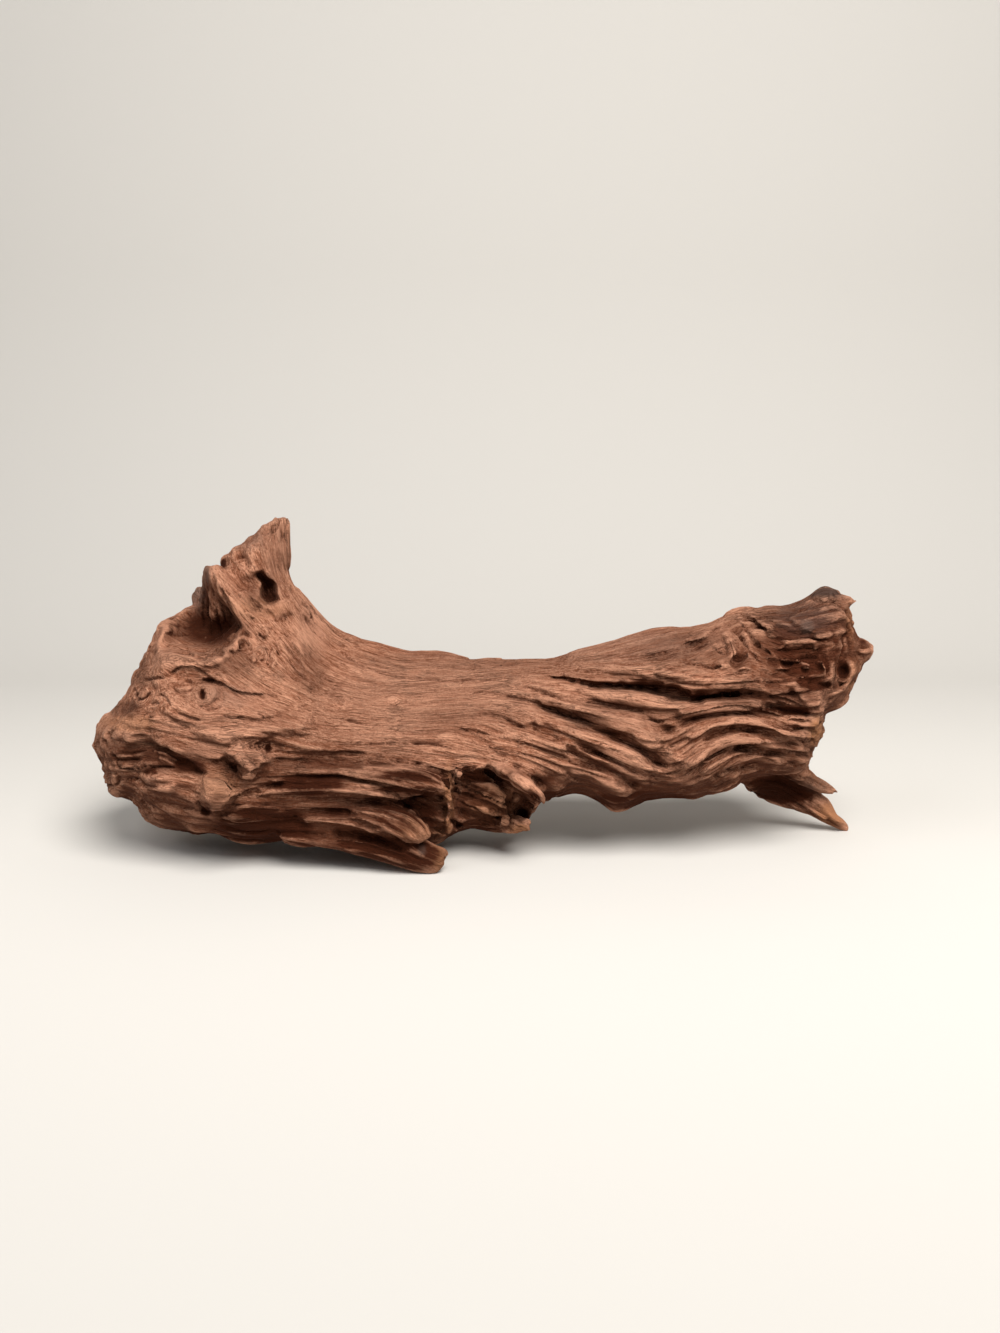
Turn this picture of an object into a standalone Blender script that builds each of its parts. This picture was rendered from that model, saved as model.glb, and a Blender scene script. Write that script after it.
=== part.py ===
"""Driftwood: one weathered root stump with a horn, a long grooved trunk, split fingers and a splintered leg.

The wood was measured from one standpoint, so most of its shapes are given on a sight plane: a is across and
b is up, in millimetres, as an eye at EYE sees them, and y is the real depth, away from the eye. What the
standpoint hides is given by its real x, y and z.
"""

import bmesh
import bpy
import numpy as np

MM = 0.001

# Driving dimensions, in millimetres and degrees.
EYE = np.array([0.0, -420.0, 141.0])
LOOK_DOWN = np.radians(10.1)
SIGHT_DISTANCE = 427.6
SIGHT_CENTRE_B = 74.7
WOOD_CENTRE = (-7.8, -2.45)
FORM_VOXEL = 1.8
SKIN_VOXEL = 1.5
FORM_SMOOTHING = 3
MOST_TRIANGLES = 9400
ROUGHNESS = 2.4
STROKE_STRENGTH = 1.25
TRUNK_STATIONS = 150
RING_POINTS = 56
WOOD_COLOR = (0.38, 0.19, 0.12, 1)

SIDEWAYS = np.array([1.0, 0.0, 0.0])
AHEAD = np.array([0.0, np.cos(LOOK_DOWN), -np.sin(LOOK_DOWN)])
UPWARD = np.array([0.0, np.sin(LOOK_DOWN), np.cos(LOOK_DOWN)])

# The trunk's outline as (a, b): its upper edge without the horn, and its lower edge without spur and leg.
TOP_EDGE = [
    (-147.8, 46), (-147, 52), (-145, 55.5), (-140, 60), (-137, 63), (-135, 66), (-134, 70), (-131, 74),
    (-130, 78), (-126, 84), (-125, 88), (-124, 91.5), (-120, 93), (-113, 97), (-108, 99), (-98, 99.5),
    (-84, 103), (-75, 105), (-70, 99), (-66, 94), (-60, 89), (-50, 84.5), (-40, 81.5), (-33, 80),
    (-20, 80.5), (-13, 79), (-8, 77.5), (0, 78), (20, 78), (25, 80), (35, 82.5), (45, 85), (55, 87.5),
    (65, 89), (74, 90.5), (80, 92.5), (85, 95.5), (92, 95.5), (100, 97.5), (105, 97.5), (110, 100.5),
    (115, 104), (119, 104.8), (123, 103.5), (126, 99.5), (127.5, 92), (128.2, 86), (130, 84.8), (134, 84.6),
    (135.5, 82), (137, 80),
]
BOTTOM_EDGE = [
    (-147.8, 46), (-146.5, 43), (-145, 40), (-144, 34), (-142.5, 30), (-140, 27.5), (-135, 26.5),
    (-131, 24.5), (-128, 20.5), (-124, 17), (-120, 15.5), (-115, 15), (-111, 13), (-105, 13.5), (-100, 12),
    (-95, 11), (-90, 10.5), (-70, 11), (-60, 10.5), (-50, 9.5), (-40, 9), (-30, 9), (-22, 10), (-18, 13),
    (-10, 15), (0, 14.8), (8, 16), (11, 19), (13, 23), (16, 26.5), (20, 27), (25, 28), (30, 27.5),
    (35, 25.5), (39, 22.5), (41, 21), (45, 21.3), (50, 24.5), (53, 26), (60, 26.3), (72, 26.5), (76, 27.5),
    (82, 27.7), (85, 29.5), (87, 32.5), (91, 34.5), (105, 35.5), (111, 37.5), (113.5, 42), (116.2, 46),
    (117, 49), (117.6, 54), (118.4, 57), (120, 58), (124, 60), (127, 64), (129, 69), (130, 73), (132, 76.5),
    (137, 80),
]
# How far the trunk comes forward and goes back from the middle plane, and how far its foot leans forward.
FRONT_DEPTH = [
    (-147.8, -8), (-146.5, -19), (-143, -27), (-136, -33), (-120, -39), (-100, -41), (-80, -37), (-60, -32),
    (-30, -29.5), (0, -28), (40, -29), (80, -28), (105, -24), (118, -21), (128, -14), (134, -9), (137, -4),
]
BACK_DEPTH = [
    (-147.8, 2), (-146.5, 10), (-143, 17), (-136, 24), (-120, 32), (-100, 36), (-80, 35), (-60, 31),
    (-30, 28), (0, 27), (40, 27), (80, 27), (105, 25), (118, 21), (128, 12), (134, 4), (137, 0),
]
FOOT_LEAN = [(-147, 2), (-120, 8), (-90, 14), (-60, 17), (-20, 12), (10, 7), (40, 5), (137, 4)]


def place(a, b, y):
    """The point at depth y that the eye sees at a, b."""
    a, b, y = np.broadcast_arrays(*(np.asarray(v, float) for v in (a, b, y)))
    ray = SIGHT_DISTANCE * AHEAD + a[..., None] * SIDEWAYS + (b - SIGHT_CENTRE_B)[..., None] * UPWARD
    return EYE + ray * ((y - EYE[1]) / ray[..., 1])[..., None]


def seen(points):
    """Where the eye sees each point, as a and b."""
    offset = points - EYE
    reach = SIGHT_DISTANCE / (offset @ AHEAD)
    return offset[:, 0] * reach, (offset @ UPWARD) * reach + SIGHT_CENTRE_B


def along(line, at):
    """A quantity given as (position, value) pairs, read between them."""
    line = np.array(line, float)
    return np.interp(at, line[:, 0], line[:, 1])


def smooth_path(points, count):
    """count rows read evenly from a Catmull-Rom curve through the given rows."""
    rows = np.array(points, float)
    rows = np.vstack([2 * rows[0] - rows[1], rows, 2 * rows[-1] - rows[-2]])
    t = np.linspace(0, len(rows) - 3, count)
    i = np.minimum(t.astype(int), len(rows) - 4)
    f = (t - i)[:, None]
    p0, p1, p2, p3 = rows[i], rows[i + 1], rows[i + 2], rows[i + 3]
    return 0.5 * (
        2 * p1 + (p2 - p0) * f + (2 * p0 - 5 * p1 + 4 * p2 - p3) * f**2 + (3 * p1 - p0 - 3 * p2 + p3) * f**3
    )


def skin_object(name, rings):
    """A closed body through rings of points, each ring joined to the next, with its two ends filled."""
    count, around = rings.shape[:2]
    mesh = bpy.data.meshes.new(name)
    corner = np.arange(count * around).reshape(count, around)
    following = np.roll(corner, -1, axis=1)
    sides = np.stack([corner[:-1], corner[1:], following[1:], following[:-1]], axis=-1).reshape(-1, 4)
    faces = sides.tolist() + [corner[0].tolist(), corner[-1][::-1].tolist()]
    mesh.from_pydata((rings.reshape(-1, 3) * MM).tolist(), [], faces)
    form = bpy.data.objects.new(name, mesh)
    bpy.context.scene.collection.objects.link(form)
    body = bmesh.new()
    body.from_mesh(mesh)
    bmesh.ops.remove_doubles(body, verts=body.verts, dist=1e-6)
    bmesh.ops.recalc_face_normals(body, faces=body.faces)
    body.to_mesh(mesh)
    body.free()
    return form


def trunk():
    """The trunk and head: at each a, a rounded section between the two edges, whose foot leans forward."""
    a = np.linspace(TOP_EDGE[0][0] + 0.1, TOP_EDGE[-1][0] - 0.1, TRUNK_STATIONS)[:, None]
    turn = np.linspace(0, 2 * np.pi, RING_POINTS, endpoint=False)[None, :]
    fullness = 0.86
    across = np.sign(np.cos(turn)) * np.abs(np.cos(turn)) ** fullness
    upward = np.sign(np.sin(turn)) * np.abs(np.sin(turn)) ** fullness
    top, bottom = along(TOP_EDGE, a), along(BOTTOM_EDGE, a)
    front, back = along(FRONT_DEPTH, a), along(BACK_DEPTH, a)
    b = (top + bottom) / 2 + upward * (top - bottom) / 2
    y = (front + back) / 2 + across * (back - front) / 2 + along(FOOT_LEAN, a) * upward
    return skin_object("trunk", place(np.broadcast_to(a, b.shape), b, y))


def limb(name, stations, real=False):
    """A tapering limb through stations: centre (a, b, y) or real (x, y, z), half the width and depth."""
    rows = smooth_path(stations, 5 * len(stations))
    centre = rows[:, :3] if real else place(rows[:, 0], rows[:, 1], rows[:, 2])
    heading = np.gradient(centre, axis=0)
    heading /= np.linalg.norm(heading, axis=1, keepdims=True)
    deep = np.array([1.0, 0, 0]) if real else np.array([0.0, 1.0, 0])
    wide = np.cross(heading, deep)
    wide /= np.linalg.norm(wide, axis=1, keepdims=True)
    deep = np.cross(wide, heading)
    turn = np.linspace(0, 2 * np.pi, 20, endpoint=False)
    rings = (
        centre[:, None]
        + wide[:, None] * np.cos(turn)[None, :, None] * np.maximum(rows[:, 3], 0.3)[:, None, None]
        + deep[:, None] * np.sin(turn)[None, :, None] * np.maximum(rows[:, 4], 0.3)[:, None, None]
    )
    return skin_object(name, rings)


# Each limb's stations are its centre (a, b, y), half its width and half its depth.
LIMBS = {
    "ridge_spike": [
        (-84, 80, -27, 7, 7), (-92, 90, -23, 7, 7), (-98, 98, -18, 6.2, 6.4), (-102.3, 104, -14, 4.8, 5.6),
        (-105.5, 109, -11.5, 2.9, 4), (-106.9, 111.9, -10.5, 1.3, 2.2),
    ],
    "pale_lobe": [
        (-98, 92, 14, 8, 9), (-104, 98, 15, 7, 8), (-108.5, 101.5, 15, 4.6, 6), (-110.5, 103.5, 15, 2, 3),
    ],
    "spur": [
        (-78, 17, -27, 6, 7), (-62, 14.5, -30, 5.6, 6.5), (-48, 10.5, -32, 5.2, 6),
        (-38, 7.5, -33, 5.2, 5.5), (-30, 4.6, -33, 5.0, 5), (-25, 3.2, -33, 4.6, 4.4),
        (-21.6, 2.6, -33, 2.6, 3),
    ],
    "upper_finger": [
        (-66, 38, -30, 3.6, 5), (-50, 37.2, -32.5, 4, 5), (-38, 36, -34, 4.2, 5), (-28, 34, -34.5, 4, 4.4),
        (-21.5, 31.6, -34.5, 3.4, 3.8), (-18, 30.2, -34, 2.2, 2.6),
    ],
    "middle_finger": [
        (-84, 29, -31, 4.4, 6), (-62, 29.6, -34, 4.2, 5.5), (-48, 29, -35, 3.6, 4.6),
        (-41, 28, -35, 2.4, 3.4), (-37, 27.2, -34.5, 0.9, 1.6),
    ],
    "lower_finger": [
        (-70, 22, -32, 3.4, 6), (-54, 21.6, -34.5, 4, 5.5), (-43, 20.4, -36, 4.4, 5),
        (-35.5, 17.8, -36.5, 4.2, 4.6), (-30, 14.2, -36.5, 3.4, 4), (-26.9, 11.6, -36, 1.6, 2),
    ],
    "curl": [
        (-6, 16.5, -17, 3.4, 5), (1, 17.2, -20, 3.4, 5), (6, 17.8, -22, 3.2, 5), (10.2, 20, -22.5, 1.8, 3.6),
    ],
    "spike": [
        (-3, 40, -25, 2.2, 5), (4, 37.2, -28.5, 2.8, 4.6), (9.5, 33.2, -30.5, 2.7, 3.8),
        (13.6, 28.6, -31.5, 2.1, 2.8), (16.4, 24.4, -31.5, 0.9, 1.2),
    ],
    "leg": [
        (88, 40, 10, 6, 8), (98, 34, 12, 7, 6.4), (107, 28.6, 13, 6.4, 5), (115, 23.6, 13.5, 4.6, 4.2),
        (120.4, 18.8, 13.5, 3.6, 3.6), (124.6, 15.6, 13.5, 2.9, 3), (127, 14.2, 13.5, 1.4, 1.8),
    ],
    "splinter": [
        (106, 40, 4, 4, 6), (112, 36.4, 6, 3.2, 4.4), (117, 32.6, 7.5, 2.2, 3), (120.4, 30.2, 8.2, 1.4, 2),
        (123.2, 28.6, 8.6, 0.6, 0.9),
    ],
    "hook": [
        (122, 99, -6, 3, 4), (127, 99.6, -6, 1.6, 2.4), (130, 99, -6, 1.3, 1.8), (131.2, 97.4, -6, 0.7, 1),
    ],
}
# The horn at each b: its left and right edge, its front and its back.
HORN = [
    (88, -104, -62, -20, 16), (96, -103, -68.5, -18, 14), (102, -102.5, -72.2, -16, 12),
    (108, -102.3, -75.2, -14, 9), (112, -102, -75.5, -12.5, 7), (117.4, -98, -75.5, -11, 5),
    (120, -94.6, -75.5, -9.5, 4), (124, -90, -75.7, -8, 3), (127, -88, -75.8, -6.5, 2),
    (129.6, -84.6, -76, -5, 1.2), (131.2, -81, -77, -3.8, 0),
]
# The hidden back foot, by its real x, y and z.
BACK_FOOT = [
    (-76, 4, 36, 16, 14), (-84, 14, 22, 12, 11), (-92, 23, 10, 7.6, 7.6), (-96.5, 28.5, 2, 5.8, 5.2),
    (-98.5, 31, -3, 4.6, 4.4),
]


def horn():
    """The horn: at each b, a rounded section between its edges."""
    rows = smooth_path(HORN, 40)
    turn = np.linspace(0, 2 * np.pi, 32, endpoint=False)[None, :]
    b, left, right, front, back = (column[:, None] for column in rows.T)
    a = (left + right) / 2 + np.cos(turn) * (right - left) / 2
    y = (front + back) / 2 + np.sin(turn) * (back - front) / 2
    return skin_object("horn", place(a, b, y))


def clear_scene():
    for old in list(bpy.data.objects):
        bpy.data.objects.remove(old)


def evaluated_mesh(form):
    """The form's mesh with its modifiers worked out."""
    graph = bpy.context.evaluated_depsgraph_get()
    return bpy.data.meshes.new_from_object(form.evaluated_get(graph), depsgraph=graph)


def joined(forms, name):
    """All the forms' faces in one object, still overlapping."""
    body = bmesh.new()
    for form in forms:
        body.from_mesh(form.data)
        bpy.data.objects.remove(form)
    mesh = bpy.data.meshes.new(name)
    body.to_mesh(mesh)
    body.free()
    whole = bpy.data.objects.new(name, mesh)
    bpy.context.scene.collection.objects.link(whole)
    return whole


def remesh(wood, voxel, smoothing):
    """Melts the overlapping bodies into one skin of even squares, and softens it."""
    skin = wood.modifiers.new("One skin", "REMESH")
    skin.mode = "VOXEL"
    skin.voxel_size = voxel * MM
    if smoothing:
        soften = wood.modifiers.new("Soften", "SMOOTH")
        soften.factor = 0.5
        soften.iterations = smoothing
    wood.data = evaluated_mesh(wood)
    wood.modifiers.clear()


# Hollows, as (how deep, how far in until it is that deep, outline).
TRUNK_HOLLOWS = [
    (12, 2.4, [
        (-18, 12), (-16, 35), (-13, 38), (-10, 39), (-6, 38), (-1, 39), (6, 36), (11, 31), (16, 26),
        (13, 21), (10, 15), (2, 12), (-8, 12),
    ]),
]
HOLLOWS = [
    (12, 9, [
        (-122, 93), (-118, 97), (-111, 98), (-105, 93), (-100, 89), (-96, 85), (-101, 79.5), (-107, 77.3),
        (-117, 77), (-124, 80), (-126, 88),
    ]),
    (8, 3, [
        (-94, 103.5), (-91, 108.5), (-87.5, 109), (-84, 106), (-81.5, 101), (-82.5, 97.5), (-87, 98.3),
        (-91, 100.5),
    ]),
    (8, 3.4, [
        (5, 74.6), (14, 74), (25, 72.7), (35, 71), (45, 70), (55, 69.5), (62, 68.2), (72, 65.6), (84, 66.3),
        (90, 65), (90, 63), (80, 61.6), (70, 60.6), (62, 61.6), (56, 63.5), (50, 65), (32, 65.6), (20, 69),
        (12, 71.5),
    ]),
    (6, 3, [(95, 61), (104, 61.5), (112, 59.5), (117, 56.5), (113, 55), (105, 56), (97, 58)]),
    (7, 3, [(116, 72), (120, 75), (124, 77.5), (127, 76), (126.5, 71), (123, 68), (118, 68)]),
    (6, 2, [(-37, 26.5), (-33.5, 30), (-25, 29), (-18, 27), (-19, 22), (-22, 20.5), (-28, 18), (-33, 22.5)]),
]
# Ledges, as (how deep below, how far down that fades, edge from left to right with the hollow side below it).
LEDGES = [
    (10, 9, [(-140, 45), (-137, 47), (-128, 49), (-122, 47), (-116, 44), (-110, 40), (-106, 37)]),
    (7, 6, [(-103, 41), (-101, 42), (-97, 40), (-95, 37), (-91, 35), (-86, 34)]),
    (4, 4, [(-93, 44), (-91, 45), (-87, 47), (-84, 45.5), (-82, 43)]),
    (2, 4, [(-120, 71), (-110, 71), (-105, 70), (-100, 67), (-96, 65), (-90, 64), (-84, 65)]),
]
# Grooves and ridges, as (how deep or high, half its width, middle line).
GROOVES = [
    (2.4, 2.2, [(-67, 90), (-60, 84), (-53, 77), (-45, 73.5), (-34, 71.5), (-24, 70.5)]),
    (1.4, 1.6, [(-70, 67), (-63, 65), (-56, 62)]),
    (1.2, 1.5, [(-36, 56), (-28, 56.8), (-21, 56.3)]),
    (1.4, 1.8, [(-17, 53), (-10, 49.5), (-4, 46)]),
    (2.6, 3.5, [(-84, 41), (-70, 41.5), (-55, 42.5), (-36, 42.5), (-20, 40)]),
    (2.6, 2.6, [(0, 65), (10, 61.5), (20, 57), (30, 53), (40, 50), (48, 46), (55, 41), (62, 37.5)]),
    (2.0, 1.8, [(-9, 57.5), (0, 57.3), (5, 54), (14, 51)]),
    (1.8, 1.8, [(13, 54.5), (20, 49), (26, 43)]),
    (2.0, 1.8, [(27, 48), (34, 44), (42, 40), (52, 35)]),
    (2.0, 1.8, [(28, 40.5), (36, 36), (46, 33), (58, 28.5)]),
    (1.8, 2.0, [(58, 53.5), (62, 50), (66, 47.5), (71, 47.5), (76, 50), (88, 50.5), (100, 47)]),
    (2.0, 1.8, [(57, 37.5), (64, 35.5), (72, 38.5), (80, 43), (92, 45.5), (104, 42.5)]),
    (1.8, 1.6, [(70, 30.5), (78, 36.5), (86, 40.6), (96, 40)]),
    (2.0, 1.8, [(62, 58.5), (74, 56.8), (90, 58.2), (104, 52.5)]),
    (2.0, 1.8, [(-50, 40.3), (-36, 39), (-28, 37.3), (-22, 34.5)]),
    (1.8, 1.2, [(-82, 32.5), (-72, 34), (-60, 34.5), (-50, 34), (-40, 32), (-30, 29.5)]),
    (1.6, 1.2, [(-80, 25), (-60, 25.3), (-50, 25.3), (-38, 25)]),
    (2.0, 1.3, [(-58, 17), (-50, 18), (-42, 16), (-34, 11)]),
    (1.4, 1.6, [(26, 77), (45, 77), (60, 78.5), (72, 78)]),
    (2.0, 2.0, [(70, 81), (77, 84), (83, 82), (88, 77), (97, 72)]),
    (1.8, 1.8, [(93, 91), (99, 86), (104, 81), (110, 79)]),
    (2.6, 3.5, [(-80, 94), (-76, 85), (-73, 78), (-71, 70)]),
    (1.8, 2.6, [(-68, 74), (-62, 69), (-57, 65)]),
    (1.6, 1.6, [(-134, 62), (-130, 60), (-126.5, 62.5), (-127, 66)]),
    (1.6, 1.8, [(-117, 66), (-113, 71), (-106, 71.5), (-100, 66.5), (-101, 60.5), (-107, 58)]),
]
RIDGES = [
    (2.4, 3.2, [(14, 66), (30, 61), (40, 58), (50, 56.5), (55, 52), (60, 47)]),
    (2.4, 2.8, [(60, 46), (66, 42), (70, 41), (76, 43.5), (84, 47.5), (96, 47.5)]),
    (2.4, 2.8, [
        (24, 53), (35, 48), (45, 44), (52, 39), (60, 34), (66, 32.5), (72, 35), (84, 43), (100, 41),
        (112, 36),
    ]),
    (1.8, 2.2, [(18, 48), (30, 44), (40, 40), (50, 36), (60, 32)]),
    (1.6, 2.0, [(28, 35.5), (40, 32.5), (52, 27.5)]),
    (2.0, 2.4, [(64, 55), (70, 52), (80, 53.5), (90, 54), (100, 50.5), (112, 46)]),
    (2.4, 2.4, [(56, 62), (70, 58.8), (80, 59.8), (90, 61.8), (100, 59), (110, 53)]),
    (2.0, 3.0, [(-114, 53), (-100, 49), (-85, 51), (-66, 53)]),
    (2.2, 3.2, [(30, 76), (50, 74.5), (66, 73), (85, 72), (100, 68)]),
    (2.0, 2.6, [(66, 84), (74, 87), (86, 88), (90, 82), (100, 77)]),
    (2.4, 2.6, [(-121, 75.5), (-112, 74.5), (-104, 76), (-97, 81), (-92, 88)]),
    (1.6, 2.4, [(-95, 101), (-90, 97), (-84, 95), (-79, 99)]),
    (1.6, 2.0, [(120, 66), (126, 66.5), (128.5, 72), (127, 79)]),
]
# Pits and knobs, as (how deep or high, a, b, half its width, half its height).
PITS = [
    (4, -108, 65, 3.6, 3.0), (5, -127, 36, 4, 3.4), (4, -108, 36, 2.6, 2.4), (3.5, -118, 88, 5, 4.5),
    (3, -95, 82, 3, 2.4), (3, -84, 79, 2.8, 3), (3, -94, 114, 2.4, 1.8), (4.5, -85, 103, 2.2, 5),
    (3, -107, 21, 3, 2.2), (2, 70, 49, 3, 2), (3.5, 124.6, 74, 2.2, 3.4), (3, 82, 32, 4, 2.5),
    (6, -125, 38, 15, 7), (4, -98, 34, 8, 3.5), (3, -75, 80, 5, 14), (6, 5.5, 23.5, 3, 3),
]
KNOBS = [
    (3.5, -104, 28, 7, 6), (2.5, -96, 74, 9, 7), (3, -110, 60, 12, 7), (2.5, -134, 58, 6, 6),
    (2, -40, 62, 4, 2.4), (2.5, 78, 84, 7, 4.5), (2, 108, 91, 9, 6), (2.5, -88, 57, 12, 6),
    (2, 74, 39, 6, 4), (3, -90, 118, 6, 5),
]

# The side away from the eye, drawn the same way on the upright plane of real x and z.
BACK_HOLLOWS = [
    (7, 7, [(-126, 50), (-119, 68), (-106, 72), (-97, 62), (-101, 49), (-113, 43)]),
    (6, 5, [(52, 33), (66, 42), (84, 48), (103, 52), (108, 44), (90, 36), (70, 29)]),
]
BACK_LEDGES = [
    (5, 8, [(-70, 48), (-45, 44), (-20, 46), (0, 43)]),
    (4, 6, [(-95, 100), (-88, 96), (-80, 98)]),
]
BACK_GROOVES = [
    (3.2, 3.0, [(-76, 100), (-66, 86), (-46, 74), (-16, 68), (22, 69), (62, 77), (104, 90)]),
    (2.6, 2.4, [(-62, 60), (-30, 57), (10, 52), (50, 57), (88, 67), (122, 73)]),
    (2.2, 2.2, [(-84, 34), (-52, 30), (-22, 33), (16, 36), (44, 35)]),
    (2.4, 2.4, [(-122, 78), (-106, 82), (-92, 90), (-86, 106)]),
    (2.2, 2.2, [(-138, 52), (-128, 40), (-108, 34), (-90, 30)]),
    (2.2, 2.0, [(14, 60), (44, 66), (76, 74), (104, 79)]),
    (2.0, 1.8, [(-52, 66), (-26, 62), (4, 60)]),
]
BACK_RIDGES = [
    (2.4, 3.4, [(-64, 76), (-30, 67), (10, 60), (46, 62), (90, 73)]),
    (2.2, 3.0, [(-60, 40), (-20, 40), (24, 43), (62, 50), (108, 62)]),
]
BACK_KNOBS = [(4, -58, 52, 15, 9), (3.5, 34, 58, 13, 7), (4, 96, 66, 10, 8), (3, -96, 84, 10, 8)]


def softly(t):
    """Eases from 0 to 1 as t does."""
    t = np.clip(t, 0, 1)
    return t * t * (3 - 2 * t)


def line_distance(a, b, line):
    """From each a, b: the distance to the line, its side (1 below it if drawn rightward), how far along."""
    line = np.array(line, float)
    lengths = np.linalg.norm(np.diff(line, axis=0), axis=1)
    reached = np.concatenate([[0], np.cumsum(lengths)])
    nearest = np.full(a.shape, np.inf)
    side = np.ones(a.shape)
    progress = np.zeros(a.shape)
    for (a0, b0), (a1, b1), length, so_far in zip(line[:-1], line[1:], lengths, reached):
        da, db = (a1 - a0) / length, (b1 - b0) / length
        t = np.clip((a - a0) * da + (b - b0) * db, 0, length)
        distance = np.hypot(a - a0 - t * da, b - b0 - t * db)
        closer = distance < nearest
        nearest = np.where(closer, distance, nearest)
        side = np.where(closer, np.sign((a - a0) * db - (b - b0) * da), side)
        progress = np.where(closer, (so_far + t) / reached[-1], progress)
    return nearest, side, progress


def inside_outline(a, b, outline):
    """How far in from a closed outline each a, b is, and 0 outside it."""
    distance = line_distance(a, b, outline + outline[:1])[0]
    crossings = np.zeros(a.shape, int)
    for (a0, b0), (a1, b1) in zip(outline, outline[1:] + outline[:1]):
        if b0 != b1:
            crossings += ((b0 > b) != (b1 > b)) & (a < a0 + (a1 - a0) * (b - b0) / (b1 - b0))
    return np.where(crossings % 2 == 1, distance, 0)


def hollowing(a, b, hollows):
    """How deep the hollows reach at each a, b."""
    depth = np.zeros(a.shape)
    for deep, slope, outline in hollows:
        depth += deep * softly(inside_outline(a, b, outline) / slope)
    return depth


def relief(a, b, hollows, ledges, grooves, ridges, pits, knobs):
    """How far the wood stands out at each a, b: ridges and knobs less ledges, grooves, pits and hollows."""
    height = -hollowing(a, b, hollows)
    for deep, fade, edge in ledges:
        distance, side, progress = line_distance(a, b, edge)
        ends = softly(progress / 0.15) * softly((1 - progress) / 0.15)
        below = side * distance
        height -= deep * ends * softly((below + 0.4) / 1.6) * np.exp(-np.maximum(below, 0) / fade)
    for sign, strokes in ((-1, grooves), (1, ridges)):
        for high, width, line in strokes:
            distance, _, progress = line_distance(a, b, line)
            ends = softly(progress / 0.12) * softly((1 - progress) / 0.12)
            height += sign * STROKE_STRENGTH * high * ends * np.exp(-((distance / width) ** 2))
    for sign, spots in ((-1, pits), (1, knobs)):
        for high, at_a, at_b, wide, tall in spots:
            height += sign * high * np.exp(-(((a - at_a) / wide) ** 2) - ((b - at_b) / tall) ** 2)
    return height


def front_relief(a, b):
    return relief(a, b, HOLLOWS, LEDGES, GROOVES, RIDGES, PITS, KNOBS)


def back_relief(x, z):
    return relief(x, z, BACK_HOLLOWS, BACK_LEDGES, BACK_GROOVES, BACK_RIDGES, [], BACK_KNOBS)


def lattice_noise(points, seed):
    """Smooth noise from 0 to 1: seeded values on a unit lattice, eased between its corners."""
    values = np.random.default_rng(seed).random((32, 32, 32))
    cell = np.floor(points).astype(int)
    ease = softly(points - cell)
    total = np.zeros(len(points))
    for corner in np.ndindex(2, 2, 2):
        weight = np.prod(np.where(corner, ease, 1 - ease), axis=1)
        i, j, k = ((cell + corner) % 32).T
        total += weight * values[i, j, k]
    return total


def vertex_arrays(mesh):
    """The mesh's points in millimetres and its outward normals."""
    points = np.empty(len(mesh.vertices) * 3, np.float32)
    normals = np.empty(len(mesh.vertices) * 3, np.float32)
    mesh.vertices.foreach_get("co", points)
    mesh.vertices.foreach_get("normal", normals)
    return points.reshape(-1, 3).astype(float) / MM, normals.reshape(-1, 3).astype(float)


def set_points(mesh, points):
    mesh.vertices.foreach_set("co", (points * MM).astype(np.float32).ravel())
    mesh.update()


def sight_and_facing(points, normals):
    """The direction of sight at each point, and how squarely the surface faces the eye there."""
    sight = points - EYE
    sight /= np.linalg.norm(sight, axis=1, keepdims=True)
    return sight, -np.sum(sight * normals, axis=1)


def carve_front(wood, height):
    """Pushes the surface that the eye sees along the line of sight by height(a, b)."""
    points, normals = vertex_arrays(wood.data)
    sight, facing = sight_and_facing(points, normals)
    push = height(*seen(points)) * softly((facing - 0.02) / 0.33)
    set_points(wood.data, points - sight * push[:, None])


def carve_back(wood, height):
    """Pushes the surface that faces away from the eye back by height(x, z)."""
    points, normals = vertex_arrays(wood.data)
    push = height(points[:, 0], points[:, 2]) * softly((normals[:, 1] - 0.1) / 0.4)
    points[:, 1] += push
    set_points(wood.data, points)


def carve_fibres(wood):
    """Long fibre ridges that run with the trunk, strongest out of the eye's sight, and none on the feet."""
    points, normals = vertex_arrays(wood.data)
    _, facing = sight_and_facing(points, normals)
    hidden = 1 - 0.75 * softly(facing / 0.4)
    above_floor = softly((points[:, 2] - 2) / 8)
    broad = lattice_noise(points / (46, 9, 9), 5)
    fine = lattice_noise(points / (24, 4.6, 4.6) + 7.3, 6)
    ridge = (1 - 2 * np.abs(broad - 0.5)) + 0.5 * (1 - 2 * np.abs(fine - 0.5)) - 1.1
    set_points(wood.data, points + normals * (ROUGHNESS * hidden * above_floor * ridge)[:, None])


def thin_out(wood):
    """Keeps only as many triangles as the shape needs."""
    wood.data.calc_loop_triangles()
    thinner = wood.modifiers.new("Fewer triangles", "DECIMATE")
    thinner.ratio = MOST_TRIANGLES / len(wood.data.loop_triangles)
    thinner.use_collapse_triangulate = True
    wood.data = evaluated_mesh(wood)
    wood.modifiers.clear()


def stand_on_floor(wood):
    """Cuts the three feet flat at the floor, and centres the wood on its origin."""
    body = bmesh.new()
    body.from_mesh(wood.data)
    everything = body.verts[:] + body.edges[:] + body.faces[:]
    cut = bmesh.ops.bisect_plane(
        body, geom=everything, dist=1e-6, plane_co=(0, 0, 0), plane_no=(0, 0, -1), clear_outer=True
    )
    rim = [part for part in cut["geom_cut"] if isinstance(part, bmesh.types.BMEdge)]
    bmesh.ops.holes_fill(body, edges=rim)
    bmesh.ops.triangulate(body, faces=body.faces[:])
    bmesh.ops.recalc_face_normals(body, faces=body.faces)
    bmesh.ops.translate(body, verts=body.verts, vec=(-WOOD_CENTRE[0] * MM, -WOOD_CENTRE[1] * MM, 0))
    body.to_mesh(wood.data)
    body.free()


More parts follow.
